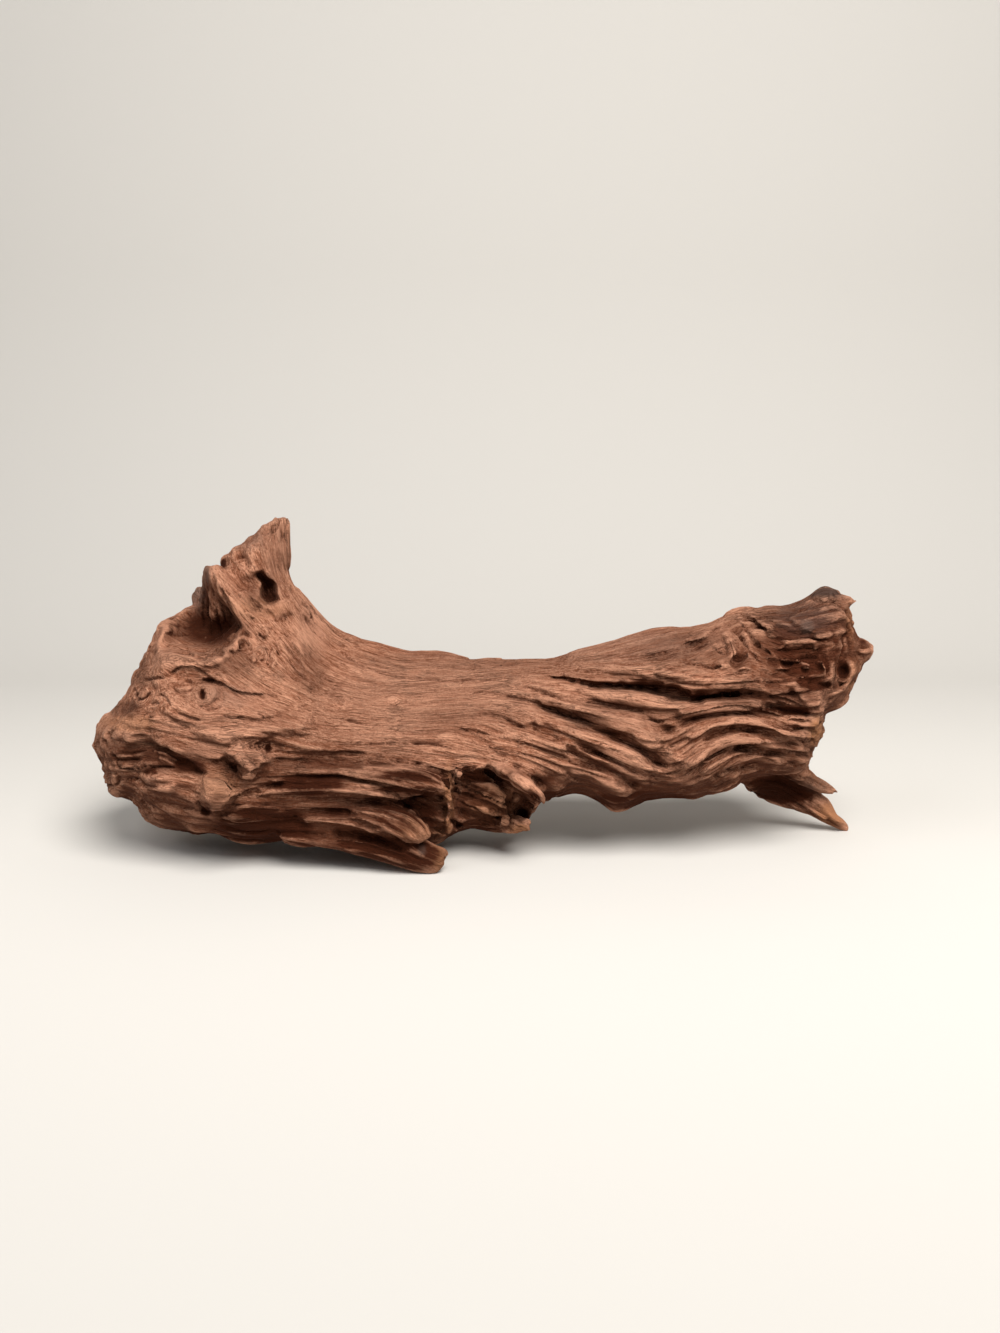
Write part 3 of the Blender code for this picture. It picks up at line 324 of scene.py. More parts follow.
# What is carved into the side that the eye sees.
# hollows: (depth, how far in until it is that deep, outline)
# ledges: (depth below, how far down that fades, edge drawn rightward)
# grooves, cracks, ridges: (depth or height, half width, middle line)
# pits, knobs: (depth or height, a, b, half width, half height)
carving = {
    "strength": 1.2,         # of grooves and ridges
    "trunkHollows": [
        (14, 5, [
            (-120.6, 84.4), (-121, 93), (-118, 99), (-111, 103), (-103, 103), (-96, 100), (-93, 95),
            (-94, 90), (-96.2, 86), (-100, 82), (-103, 79.6), (-110, 79), (-116, 80.4),
        ]),
        (15, 2.4, [
            (-17.5, 12), (-17, 33), (-15, 36.4), (-12.5, 38), (-9, 37.6), (-6.6, 38.4), (-3, 39),
            (-0.4, 38),
            (2, 36), (6, 33.4), (9, 31), (11, 28.4), (13.5, 25), (13, 21), (10, 15), (2, 12.5), (-8, 12),
        ]),
    ],
    "hollows": [
        (-2.4, 1.2, [(128.6, 84.8), (134.2, 85.6), (137.4, 81.6), (135.4, 79.4), (131, 79), (128.4, 80.6)]),
        (-4.6, 2.4, [
            (-109.6, 31), (-109, 34.4), (-104, 35.2), (-100.6, 33.6), (-96, 31), (-94.4, 27.6), (-98, 24.2),
            (-102.6, 21.2), (-105.2, 20.2), (-107.4, 23), (-109.8, 27),
        ]),
        (-2.4, 2, [
            (-101, 45), (-100, 42), (-96.2, 39.2), (-94.6, 36.4), (-93, 34.4), (-90.6, 34.4), (-87, 36.8),
            (-84, 40), (-84.6, 44), (-88, 46), (-95, 47.4),
        ]),
        (-2, 2.4, [(-146, 47), (-146, 54), (-138, 56), (-128, 55), (-128, 49), (-134, 47.2)]),
        (3.6, 4, [
            (-127, 84), (-121, 88), (-114, 95), (-103, 94), (-96, 89), (-98, 82.4), (-101, 79.8),
            (-106, 77.8), (-114, 76.8), (-121, 77.6), (-127, 79.6),
        ]),
        (6.4, 2.2, [
            (-89, 110.4), (-86.6, 110), (-83.8, 107.6), (-81.2, 104.8), (-79.8, 101.6), (-80, 98.4),
            (-82.4, 96.4),
            (-85.4, 97), (-88, 99.6), (-88, 102.6), (-87.4, 105.4), (-89, 107.6),
        ]),
        (2.2, 4, [
            (-95.4, 101.4), (-95.6, 105), (-93, 108.5), (-89, 110.4), (-85, 109), (-82.6, 104), (-82, 99),
            (-86, 97), (-90, 100), (-93.6, 102.8),
        ]),
        (9, 2.2, [
            (2, 74.6), (14.5, 73), (25, 71.2), (35, 69.8), (45, 69.4), (57, 69.6), (64, 68), (70, 65.9),
            (78, 65.6), (86, 66), (94, 65), (99, 63.8), (92, 63.4), (86, 63.2), (78, 61.6), (72, 60.6),
            (66, 60.6), (57, 63.4), (48.5, 65.4), (34.5, 66.4), (25.5, 67.8), (14.5, 71), (5, 73.4),
        ]),
        (5, 1.8, [(93, 61.4), (100, 62.6), (106, 61.6), (111, 59.6), (114, 57.8), (110, 55.6), (104, 56.2),
                  (97, 58.6)]),
        (4, 2.2, [
            (103, 70.6), (110, 70.4), (116, 71), (120.6, 69.6), (120, 66.4), (114, 66.4), (109, 67.8),
        ]),
        (-6.5, 2, [
            (-17, 13), (-17, 37.4), (-10, 38.6), (-6, 38.6), (-2.2, 35.6), (1.4, 31), (4.4, 22), (4, 17),
            (0, 14.6), (-8, 13.6),
        ]),
        (5, 1.6, [
            (-37.4, 26.6), (-34, 28.4), (-33, 30), (-26, 29.4), (-19.4, 28.4), (-18.6, 21), (-19, 14),
            (-24, 13.4), (-27, 16), (-29.4, 19), (-32.4, 21.6), (-36.4, 23.6), (-39, 24.6),
        ]),
        (2.5, 1.5, [(-26.4, 16.4), (-22, 15.6), (-19.6, 15.6), (-19.6, 13.6), (-25.6, 14.4)]),
        (2.2, 1.0, [(-57, 18.6), (-50, 18.8), (-45, 17.6), (-41, 15.8), (-46, 15.6), (-52, 16.4)]),
        (2.6, 2.4, [
            (-142, 57.6), (-138, 56.4), (-133, 56.6), (-131, 58.4), (-130, 60.4), (-134, 62.6), (-139, 61),
        ]),
    ],
    "ledges": [
        (3.4, 9, [
            (-140, 45.6), (-134, 47), (-128.4, 48.6), (-126, 48), (-123, 46.6), (-120.6, 46),
            (-116.6, 43.2),
            (-113, 41.9), (-110.2, 39.8), (-109, 37.8), (-106, 36.6), (-103, 37.6),
        ]),
        (2.4, 3, [(-128.6, 49.4), (-124, 47.2), (-119, 45.4), (-115, 43), (-111.6, 41.2)]),
        (3.6, 5, [
            (-107.6, 40.6), (-104.6, 41), (-102, 40.9), (-100, 42), (-98.6, 40.6), (-96.2, 39.2),
            (-94.6, 36.4),
            (-93, 34.4), (-90.6, 34.4), (-87, 36.4), (-83, 37.5),
        ]),
        (2.6, 3, [(-94, 45.5), (-91, 46), (-87.6, 46.5), (-84.8, 47.6), (-81, 45.6), (-78, 45.6)]),
        (1.7, 3, [
            (-112, 70.4), (-108, 69.9), (-105, 69.6), (-102.4, 68.7), (-100, 67.3), (-97.8, 66.1),
            (-95, 65.2),
            (-91, 64.6), (-87.6, 64.3), (-83, 64.3), (-78, 65),
        ]),
        (1.2, 3, [
            (-121, 71.4), (-117, 73.8), (-115, 74.5), (-112, 74.4), (-109, 72.8), (-106, 71.4), (-102, 70),
        ]),
        (1.0, 5, [
            (-64, 86.6), (-61.8, 85), (-57.6, 81.3), (-53.3, 77.7), (-48.5, 74.7), (-43.6, 72.8),
            (-36.4, 71.3), (-27.3, 70.7), (-18.2, 70.1), (0, 70.1),
        ]),
        (0.8, 3, [(-93, 92.6), (-90, 92.4), (-86, 92.8), (-82, 93.4), (-78, 92.6), (-75.6, 90.4)]),
        (1.6, 4, [(66, 82.6), (70, 82.4), (74, 83.4), (76.4, 85.6), (78.6, 88), (80.6, 89.6), (84, 91)]),
        (3.5, 4, [(105.6, 68), (107.4, 65.6), (109, 63.4), (111.4, 61.4), (114, 59.4), (117.6, 57)]),
        (2.4, 3, [(-40, 31), (-33, 29.8), (-27, 29.6), (-21, 29), (-18.6, 29.4)]),
        (2.6, 3.4, [(14, 62.4), (26.7, 57.6), (38.8, 52.9), (48.5, 48), (57, 42), (64, 36.8)]),
        (2.6, 3.2, [(22, 47.6), (32.7, 42), (41.8, 38.3), (48.5, 34.8), (54, 30.4)]),
        (2.4, 3.4, [(24, 36.6), (32.7, 33.6), (41.2, 28.8), (48.5, 25.6)]),
        (1.3, 2.8, [(-20, 52.6), (-13, 51.4), (-9, 50), (-6, 48), (-3, 45), (0, 42.4), (4, 39.4)]),
        (2.0, 2.6, [(86, 66.6), (92, 65.4), (97, 64), (104, 62.8), (109, 60.6), (113, 58.8), (116, 57)]),
        (1.8, 2.4, [(88, 60.6), (93, 60.2), (100, 58.2), (106, 56.2), (112, 55), (116, 53.6)]),
        (1.6, 2.4, [(84, 55.4), (93, 55), (100, 52), (107, 49.4), (113, 47)]),
        (1.6, 2.4, [(80, 44), (88, 46), (97, 44.8), (105, 41.4), (112, 39)]),
        (2.0, 2.4, [(80, 36), (86, 39.6), (93, 39.6), (100, 37), (106, 35)]),
        (0.6, 2.0, [(98, 82), (104, 81), (110, 80.6), (117, 80)]),
        (1.6, 2.0, [(122, 79.4), (127, 79.2), (131, 80), (136.6, 81)]),
    ],
    "grooves": [
        (1.4, 1.4, [(-70, 67), (-64, 65), (-60.6, 63.8), (-56.4, 62.5)]),
        (1.2, 0.9, [(-38, 55.8), (-35, 56), (-31, 56.2), (-27, 57), (-21, 56.6)]),
        (0.7, 1.0, [(-16, 52.8), (-13, 51.4), (-9, 49.8), (-6, 47.8), (-3, 44.8), (0, 42.2), (3, 40)]),
        (1.0, 0.7, [(-13, 52.6), (-9, 51.4), (-5.6, 49), (-2.4, 46), (0.4, 43.6), (4, 40.8)]),
        (1.8, 0.8, [(4, 39.4), (6, 38.2), (8.6, 35.9), (11.5, 33.9), (14, 32), (16.4, 29.8)]),
        (2.0, 2.6, [(-84, 40.4), (-70, 40.2), (-55, 41.4), (-48, 41.4)]),
        (1.8, 1.2, [(-12, 64.7), (-1.2, 64.1), (7.9, 62.5), (15.2, 60.1), (21.8, 57.7)]),
        (2.6, 1.9, [
            (10, 61.8), (14.5, 60.1), (26.7, 55.9), (38.8, 51), (48.5, 45.6), (57, 39.5), (62.4, 36.5),
        ]),
        (2.0, 1.5, [(24, 66), (29, 64), (40, 60.4), (51, 58), (60.6, 51.9), (66, 48.9)]),
        (0.8, 1.0, [(-8.6, 57.4), (-3, 57), (1, 56.2), (3, 55), (5, 54), (7, 53), (11, 52), (15, 51)]),
        (0.7, 0.8, [(-8, 53.2), (-6, 52.8), (-3, 51.4), (-1, 50.4), (1.4, 49.6)]),
        (2.2, 1.2, [(11, 54.6), (13.4, 51.8), (17, 50), (20, 48.6), (24, 46)]),
        (1.8, 1.4, [(13, 54.5), (20, 51), (27, 48), (34, 44), (42, 40), (52, 35)]),
        (2.2, 1.5, [(21.8, 45.6), (32.7, 40.1), (41.8, 36.5), (48.5, 32.9), (52.1, 29.8)]),
        (1.8, 1.4, [(72, 46), (77, 49.3), (84.5, 51.7), (93.3, 51.4), (102.4, 47.7), (110, 44.8)]),
        (1.8, 1.4, [(72, 39.5), (78, 43), (85.5, 45.6), (95, 45.3), (103.5, 41.6), (111.5, 38.3)]),
        (1.8, 1.3, [(76, 33.5), (79, 36), (86, 39), (93, 38.8), (100, 37)]),
        (2.0, 1.6, [(60, 58.6), (66, 55), (75, 56.5), (85, 58), (95, 57.5), (104, 54.5), (111, 51)]),
        (3.0, 1.1, [
            (-50, 40.1), (-45, 39.9), (-35, 39.6), (-30, 38.7), (-25, 36.8), (-21, 35), (-17.5, 33.3),
        ]),
        (1.8, 1.0, [(-88, 34.4), (-72, 35), (-60, 34.9), (-50, 33.2), (-40, 31.2), (-36, 30.4)]),
        (1.8, 1.1, [(-94.5, 26), (-78.2, 24.6), (-60, 25.6), (-47, 25.3), (-40, 24.8)]),
        (1.6, 1.0, [(-94, 21), (-80, 20), (-66, 21), (-52, 21.6)]),
        (2.4, 1.1, [(-62, 14), (-52, 13.2), (-44, 11.6), (-38, 9.4), (-34, 8)]),
        (1.4, 0.9, [(-86, 14.4), (-74, 13.6), (-62, 13.6)]),
        (1.4, 0.9, [(-60, 10.6), (-50, 9), (-40, 6.4), (-32, 4)]),
        (2.0, 1.3, [(-105, 20), (-100, 22), (-96, 24.6), (-90, 28.8), (-85, 30.6), (-78, 31)]),
        (1.4, 1.4, [(26, 77), (45, 77), (60, 78.5), (72, 78)]),
        (1.6, 1.1, [(66, 82.6), (70, 82.4), (74, 83.2), (76.4, 85.4), (78.6, 87.8), (80.4, 89.4)]),
        (2.2, 1.8, [(85, 90), (87, 86), (87.6, 82), (87.6, 79), (86.2, 76), (84, 74)]),
        (1.6, 1.1, [(84.6, 95), (88, 93.4), (91, 92), (94, 89.4), (97, 86.4), (99.4, 84.4), (104, 82.6)]),
        (1.6, 1.2, [(88.6, 91), (90.4, 88), (93, 84), (95.4, 81), (98, 78)]),
        (1.6, 1.1, [(88, 86), (90, 82), (92.4, 79), (96, 76.6), (102, 75.6)]),
        (1.4, 1.0, [(94, 93.6), (99, 90), (103, 87.6), (109, 86)]),
        (1.4, 1.1, [(100, 94), (105, 91), (111, 86), (118, 84)]),
        (1.4, 1.0, [(84, 71.4), (90, 72.6), (94, 71.6), (100, 71.4), (106, 72.6), (114, 73)]),
        (1.4, 3.6, [(-80, 94), (-76, 86), (-74.4, 78), (-73, 69)]),
        (1.6, 1.6, [(-70, 80), (-66, 74), (-62, 69), (-57, 65)]),
        (1.4, 1.0, [
            (-133.4, 67), (-132.4, 64.4), (-130.6, 62.2), (-128.8, 62.4), (-127.4, 63.6), (-126, 66),
            (-124.6, 68),
        ]),
        (1.2, 1.2, [
            (-110, 64), (-109.4, 68), (-106, 69.4), (-102.6, 68), (-101, 65), (-102, 61.4), (-105, 59.8),
            (-108.6, 61),
        ]),
        (1.4, 1.3, [(-86, 127), (-84.5, 121), (-81.5, 114), (-79, 106), (-78, 97)]),
        (1.2, 1.0, [(-82.4, 127), (-81.6, 120), (-79.6, 113), (-78, 108)]),
        (1.2, 1.2, [(-96, 119), (-93, 114.5), (-91, 110.5)]),
        (1.2, 0.9, [(-101.4, 111), (-98.4, 106), (-95.8, 101.4), (-94.6, 98)]),
        (0.8, 0.7, [(-103, 109), (-100.4, 104), (-97.2, 99), (-93.6, 94.6)]),
        (0.8, 1.0, [(103, 76), (112, 75), (118, 73.6)]),
        (1.4, 1.1, [(-96, 56), (-91, 54.6), (-86, 54.4), (-78, 57)]),
    ],
    "cracks": [
        (1.3, 0.7, [
            (-64, 86.4), (-61.8, 84.8), (-57.6, 81.1), (-53.3, 77.5), (-48.5, 74.5), (-43.6, 72.6),
            (-36.4, 71.1), (-27.3, 70.3), (-18.2, 69.8), (0, 69.8),
        ]),
        (1.3, 0.6, [
            (-112, 70), (-108, 69.6), (-105, 69.4), (-102.4, 68.5), (-100, 67.1), (-97.8, 65.9), (-95, 65),
            (-91, 64.4), (-87.6, 64.1), (-83, 64.1),
        ]),
        (0.9, 0.6, [(-118.6, 72), (-115.6, 71.6), (-113, 71.3), (-110.4, 71.2), (-107.4, 70.9)]),
        (1.4, 0.6, [(-121, 71), (-117, 73.6), (-115, 74.3), (-112, 74.2), (-109, 72.6), (-106, 71.2)]),
        (1.6, 0.7, [
            (-119.6, 67.8), (-118, 65.8), (-116, 65.1), (-114, 65.4), (-112, 66.6), (-110.4, 68.4),
        ]),
        (1.4, 0.9, [(-115, 70), (-112.6, 69.2), (-111.4, 68)]),
        (1.6, 0.6, [
            (-133.4, 66.8), (-132.4, 64.4), (-130.6, 62.2), (-128.8, 62.4), (-127.4, 63.6), (-126, 66),
        ]),
        (1.4, 0.6, [(-130.6, 70), (-128, 70), (-125, 70.2), (-121, 70.9)]),
        (1.4, 0.6, [(-125.4, 64.6), (-123, 64.3), (-121.6, 63.6), (-120.6, 61.8), (-119, 60.2)]),
        (1.2, 0.6, [(-110.6, 62), (-109, 60), (-106, 59), (-103, 59.6), (-101, 62)]),
        (1.2, 0.6, [(-88.6, 58), (-86.8, 57.4), (-86, 55.6), (-86.4, 54)]),
        (1.2, 0.6, [(-129, 56.8), (-126.6, 56.4), (-125, 57)]),
        (1.2, 0.6, [(-128, 60.4), (-125.4, 61.6), (-123.4, 61)]),
        (1.2, 0.6, [(-121, 55.6), (-117, 53.6), (-112, 51.6)]),
        (1.2, 0.6, [(-118, 58), (-113, 56), (-108, 55)]),
        (1.2, 0.6, [(-102, 57), (-98, 55.8), (-93, 56)]),
        (1.6, 0.7, [(-140, 43.6), (-134, 43.2), (-128, 44.4)]),
        (1.6, 0.7, [(-142, 41.4), (-136, 40.6), (-130, 41)]),
        (1.1, 0.6, [(-126, 45), (-121, 43.4), (-116.6, 41)]),
        (1.1, 0.6, [(-126, 43), (-121, 41.6), (-117, 39.4)]),
        (2.0, 0.8, [(-128.6, 36.6), (-126.6, 37.8), (-123, 38.3), (-120, 38.2), (-117, 37.8)]),
        (1.4, 0.7, [(-140, 33), (-135, 32.6), (-131, 33.6)]),
        (1.4, 0.7, [(-131, 31.6), (-127, 30.6), (-124, 31)]),
        (1.8, 0.9, [(-110.4, 26), (-109.2, 23.6), (-107.4, 21.6), (-105.6, 20.6)]),
        (1.4, 0.7, [(-121, 24), (-116, 22.4), (-111, 22.6)]),
        (1.0, 0.6, [(-97, 103), (-94.6, 100.6), (-92.4, 101)]),
        (1.1, 0.6, [(-99, 81), (-96.6, 79.6), (-94.4, 80.4), (-93.4, 83.6)]),
        (1.3, 0.6, [(-90.4, 84), (-88.8, 82), (-88.4, 79), (-86.6, 77), (-84.6, 77.4)]),
        (1.3, 0.6, [(-86.6, 81.6), (-84.8, 81), (-84, 78.6), (-84.6, 74.4)]),
        (1.2, 0.6, [(-92.6, 78.4), (-90.6, 76.6), (-88, 75.4), (-86, 73)]),
        (1.1, 0.6, [(-96, 77), (-93.6, 75.4), (-91.4, 75.8), (-90, 73)]),
        (1.1, 0.6, [(-88.6, 86), (-86.4, 84.6), (-84.4, 85.4)]),
        (1.1, 0.6, [(-95, 86.4), (-92.8, 87), (-90.6, 85.8)]),
        (1.2, 0.6, [(-82.4, 84), (-80.4, 81.4), (-79.8, 78.6)]),
        (1.2, 0.6, [(-78, 82.6), (-74.4, 78.6), (-71, 73.6)]),
        (1.2, 0.6, [(-76.6, 78), (-73.4, 73.4), (-69.4, 69.4)]),
        (1.2, 0.6, [(-79.6, 77.4), (-76, 72.4), (-72.4, 68.6)]),
        (1.2, 0.6, [(-79, 88), (-75, 83), (-71.4, 78)]),
        (0.5, 0.6, [(-90, 92), (-86.4, 91), (-83, 91.6), (-79, 90.4)]),
        (0.6, 0.6, [(-88.4, 89.6), (-84.6, 88.6), (-81, 89)]),
        (1.1, 0.6, [(-104.4, 108.6), (-104, 101), (-103, 93), (-101.4, 86)]),
        (1.1, 0.6, [(-106.6, 106), (-106.6, 98), (-105.8, 90), (-104.6, 83.6)]),
        (1.1, 0.6, [(-102.6, 104), (-101, 97), (-99.2, 90)]),
        (1.0, 0.6, [(-108.4, 103), (-108.6, 96), (-107.8, 88)]),
        (1.1, 0.6, [(-122, 87), (-117.6, 86), (-112, 86.6)]),
        (1.2, 0.6, [(-120, 84.4), (-114, 83), (-107, 83.6), (-101, 83)]),
        (1.2, 0.6, [(-118, 81.6), (-112, 80.6), (-105, 81), (-100, 80.4)]),
        (1.2, 0.6, [(-116.6, 79.4), (-110, 78.6), (-103, 79)]),
        (1.2, 0.6, [(-58, 56), (-48, 53.4), (-40, 52.8)]),
        (1.2, 0.6, [(-34, 46.8), (-24, 46.2), (-12, 43.4)]),
        (1.2, 0.6, [(-56, 47), (-44, 46.4), (-36, 46.8)]),
        (1.2, 0.6, [(-30, 75.4), (-16, 75), (-6, 73.6)]),
        (1.4, 0.7, [(6, 68), (16, 65.6), (24, 63)]),
        (0.9, 0.5, [(-8.6, 57.4), (-3, 57), (1, 56.2), (3, 55), (5, 54), (7, 53), (11, 52)]),
        (0.9, 0.5, [(-16, 52.8), (-13, 51.4), (-9, 49.8), (-6, 47.8), (-3, 44.8), (0, 42.2)]),
        (1.6, 0.7, [(36, 76.4), (47, 75.8), (58, 75.4), (66, 73.4)]),
        (1.6, 0.7, [(66, 76.4), (72, 75.4), (77, 74.6), (82, 75)]),
        (1.6, 0.7, [(66, 72), (74, 71.4), (82, 72)]),
        (1.8, 0.7, [(70, 62.6), (80, 64.4), (90, 64.6)]),
        (1.6, 0.7, [(67, 35), (72, 37), (77, 41)]),
        (1.6, 0.7, [(84.6, 95), (88, 93.4), (91, 92), (94, 89.4), (97, 86.4)]),
        (1.6, 0.7, [(112, 99.4), (118, 98.8), (125, 98.8)]),
        (1.3, 0.6, [(85.4, 92.4), (89, 88.6), (92, 84.4), (96, 80.4), (101, 78)]),
        (1.3, 0.6, [(84.6, 88.4), (87.6, 84.4), (90.6, 80.6), (94.6, 77.4), (99, 75.6)]),
        (1.2, 0.6, [(90.6, 93.4), (94, 89.8), (97.4, 87), (101.4, 86)]),
        (1.2, 0.6, [(83, 84.6), (84.4, 81), (85.4, 77.6)]),
        (1.1, 0.6, [(80, 86.6), (81.6, 83), (82.2, 79.4)]),
        (1.1, 0.6, [(76.4, 82.6), (79, 80.6), (83, 79)]),
        (1.2, 0.6, [(105, 93.6), (111, 95.4), (118, 97), (125, 98.4)]),
        (1.2, 0.6, [(107, 91.5), (113, 93), (120, 94.6), (126, 95.4)]),
        (1.2, 0.6, [(114, 89.4), (119, 90), (124, 91), (127, 92)]),
        (1.0, 0.6, [(103, 88), (108, 87), (113, 86.4), (120, 87.4)]),
        (1.3, 0.6, [(98, 85.4), (104, 84.8), (110, 85.4), (117, 84.4), (123, 85.4)]),
        (1.2, 0.6, [(99, 81.8), (105, 80.6), (111, 81.4), (117, 80)]),
        (1.2, 0.6, [(100, 79), (106, 78.4), (112, 78.8), (118, 77)]),
        (1.2, 0.6, [(101, 76), (106, 75.8), (110, 74.6), (115, 72.8)]),
        (1.2, 0.6, [(98, 73.4), (104, 72.6), (110, 71.6), (114, 70)]),
        (1.0, 0.6, [(129, 81.4), (132, 81.2), (135.6, 82.2)]),
        (1.2, 0.6, [(121, 66.6), (125, 67.6), (127, 70)]),
        (1.8, 0.7, [(97, 63.6), (104, 62.6), (109, 60.4), (113, 58.4)]),
        (1.8, 0.7, [(93, 60), (100, 58), (106, 56), (111, 55.2)]),
        (1.6, 0.7, [(96, 69), (102, 69), (108, 70)]),
        (1.6, 0.7, [(106, 53.4), (112, 51.6), (116.6, 50)]),
        (1.6, 0.7, [(104, 48.4), (110, 46.4), (115, 44.8)]),
        (1.6, 0.7, [(104, 43), (110, 41.6), (114, 41.8)]),
        (1.6, 0.7, [(126, 95.6), (127.4, 92), (126.4, 88)]),
    ],
    "ridges": [
        (1.5, 2.4, [
            (14.5, 66.2), (23.6, 61.3), (32.7, 58.3), (40.6, 55.3), (48.5, 52.8), (53.9, 49.2), (60, 43.8),
        ]),
        (1.6, 2.0, [
            (58, 45.4), (60, 43.8), (66.7, 39.5), (71, 40.7), (75.2, 44.4), (81.2, 48), (87.3, 48.6),
            (101.8, 46),
        ]),
        (1.6, 2.0, [
            (22, 53.6), (26.7, 51.6), (38.8, 46.8), (48.5, 42), (57, 36.5), (63, 32.9), (67.9, 31),
            (72.1, 32.3), (75.2, 35.9), (78.8, 39.5), (84.2, 42.5), (93.3, 41.9), (104, 38.4),
            (111.5, 35.3),
        ]),
        (1.2, 1.8, [(18, 48.6), (28, 44.4), (38, 40), (48, 35.6), (57, 32)]),
        (1.2, 1.9, [(22.4, 39.5), (32.7, 35.9), (41.2, 31), (48.5, 27.4)]),
        (1.4, 1.8, [
            (66, 50.4), (70, 48.4), (73.3, 49.2), (77.6, 52.3), (84.8, 54.7), (93.3, 54.1), (102.4, 50.4),
            (108.5, 48), (113, 46),
        ]),
        (1.8, 2.0, [
            (34.5, 64.6), (48.5, 63.4), (60, 60.6), (67, 58), (75, 58.6), (84, 60.4), (92, 60.9),
            (102, 58.4),
        ]),
        (2.0, 3.0, [(-114, 52), (-100, 49), (-85, 51), (-66, 53)]),
        (2.4, 2.8, [(24, 77.4), (40, 75), (55, 73.8), (66, 71), (80, 69), (92, 69.4), (102, 67)]),
        (1.6, 2.0, [(66, 84.6), (71, 84.8), (74, 86.6), (77, 89.6), (82, 92)]),
        (1.6, 1.4, [(80.4, 88), (83, 86), (84.4, 83), (85.4, 80), (85.6, 77.6)]),
        (1.4, 1.2, [(86.6, 92.6), (89.4, 90), (92, 86.4), (95, 82.4), (97.6, 79)]),
        (1.4, 1.2, [(90, 94), (94, 91.6), (97, 88.4), (100, 86)]),
        (1.4, 1.2, [(88.6, 84), (91, 80.6), (94.4, 77.4), (98, 75.4)]),
        (1.6, 1.8, [(78, 75), (84, 75.4), (88, 74.4), (94, 72), (99, 69.8)]),
        (2.4, 2.0, [
            (-126, 76), (-120, 75.6), (-112, 75.4), (-105, 76), (-99.6, 79), (-96.6, 83), (-95, 87),
            (-93.4, 90.6),
        ]),
        (1.8, 1.6, [(-124.6, 80), (-123.4, 85), (-122.8, 90.6)]),
        (1.6, 1.1, [(-94.4, 103), (-91.5, 101), (-88.4, 98.6), (-85.4, 96), (-81.6, 95.8)]),
        (1.0, 0.8, [(-105.2, 110.6), (-102, 105), (-98.6, 100), (-94.6, 95.4)]),
        (1.3, 1.0, [(-97.8, 83.8), (-95, 85), (-91.8, 84.8), (-89.6, 82.4), (-89, 78.6), (-90.4, 74.8)]),
        (1.2, 0.9, [(-95, 85), (-95.2, 81.6), (-96.4, 77.4)]),
        (1.2, 0.9, [(-85.6, 83.6), (-82.4, 81.6), (-81.8, 77.6), (-83, 73.6)]),
        (1.6, 1.6, [(120, 64.6), (126, 66), (128.4, 72), (127.6, 78)]),
        (1.6, 1.4, [(-130, 31), (-126, 30), (-121, 30.4), (-117, 31.4)]),
        (1.6, 1.4, [(-141, 56), (-135, 55.2), (-129, 55.4), (-124, 57)]),
        (1.2, 0.9, [(-126, 44.2), (-121, 42.6), (-117, 40.4)]),
        (1.2, 0.9, [(-125, 42), (-121, 40.6), (-118, 38.8)]),
        (1.4, 1.3, [(-96, 43), (-92, 40), (-90, 36.4), (-86, 37)]),
        (1.0, 0.6, [(101, 77.4), (106, 77.6), (111, 77)]),
        (1.2, 0.6, [(106.4, 76.4), (110, 75.2), (114, 73.6)]),
        (1.3, 0.7, [(116.4, 77.4), (118.2, 74), (119.6, 70)]),
        (1.0, 0.8, [(-16, 31.2), (-10, 32), (-4, 31.6), (2, 30.6)]),
        (1.0, 0.8, [(-16, 28.4), (-9, 29), (-3, 28.8)]),
        (1.0, 0.8, [(-16, 25.6), (-9, 26.2), (-4, 26)]),
        (1.0, 0.8, [(-16, 22.6), (-9, 23.4), (-4, 23)]),
        (1.2, 0.9, [(-16, 18.8), (-8, 19.6), (0, 18.4)]),
        (1.8, 0.9, [(-36, 27.6), (-30, 24.6), (-24, 22.4), (-20, 21.8)]),
        (1.6, 0.8, [(-33, 28.6), (-27, 26), (-20, 24.4)]),
        (2.0, 1.2, [(-33, 23.6), (-28, 20.8), (-20, 19)]),
        (1.4, 0.8, [(-28, 17.6), (-24, 16.8), (-20, 17)]),
        (1.8, 2.0, [(-66, 84), (-58, 77.6), (-50, 71.6), (-40, 69), (-26, 68), (-12, 68)]),
        (1.8, 1.2, [(113, 27.6), (117, 24.6), (121, 20.6), (125, 17)]),
        (1.0, 0.8, [(110, 26), (114, 22), (119, 18.4)]),
    ],
    "pits": [
        (5, -108.2, 64.6, 1.0, 2.0), (1.4, -127.2, 36, 3.0, 1.2), (1.4, -108.6, 37, 2.6, 2),
        (2.4, -119.4, 88.4, 1.4, 2.2), (0.6, -93.6, 82, 0.9, 2.2), (0.8, -97.4, 79.8, 1.9, 0.9),
        (0.8, -88.2, 83.4, 0.8, 1.6), (1.0, -87, 79.4, 1.0, 2.4), (0.8, -86.4, 76.4, 2.2, 0.8),
        (1.2, -84, 80.2, 0.9, 2.2), (0.9, -84.4, 76.0, 1.2, 1.6), (0.8, -79.6, 80.4, 1.0, 1.9),
        (0.8, -91.4, 77.4, 1.6, 0.9), (1.4, -94.2, 114.4, 1.3, 0.8), (1.0, -92.6, 117.6, 0.9, 1.4),
        (2.4, -100.6, 112.4, 1.3, 2.2), (1.2, -98, 116, 0.9, 0.7), (2, -107.4, 22.4, 2.0, 1.6),
        (4.6, 124.8, 73.5, 1.8, 2.8), (2, 82, 32.4, 4, 2.0), (2.4, -115, 38.8, 7, 3.4),
        (1.6, -97, 36.8, 6, 4.4), (0.8, -75, 76, 4, 10), (7, 7.4, 21.4, 2.2, 1.8),
        (6, 11.4, 25.4, 2.0, 3.2), (2, 66.8, 30.2, 2.4, 1.0), (3.4, -84.3, 45.2, 1.3, 1.7),
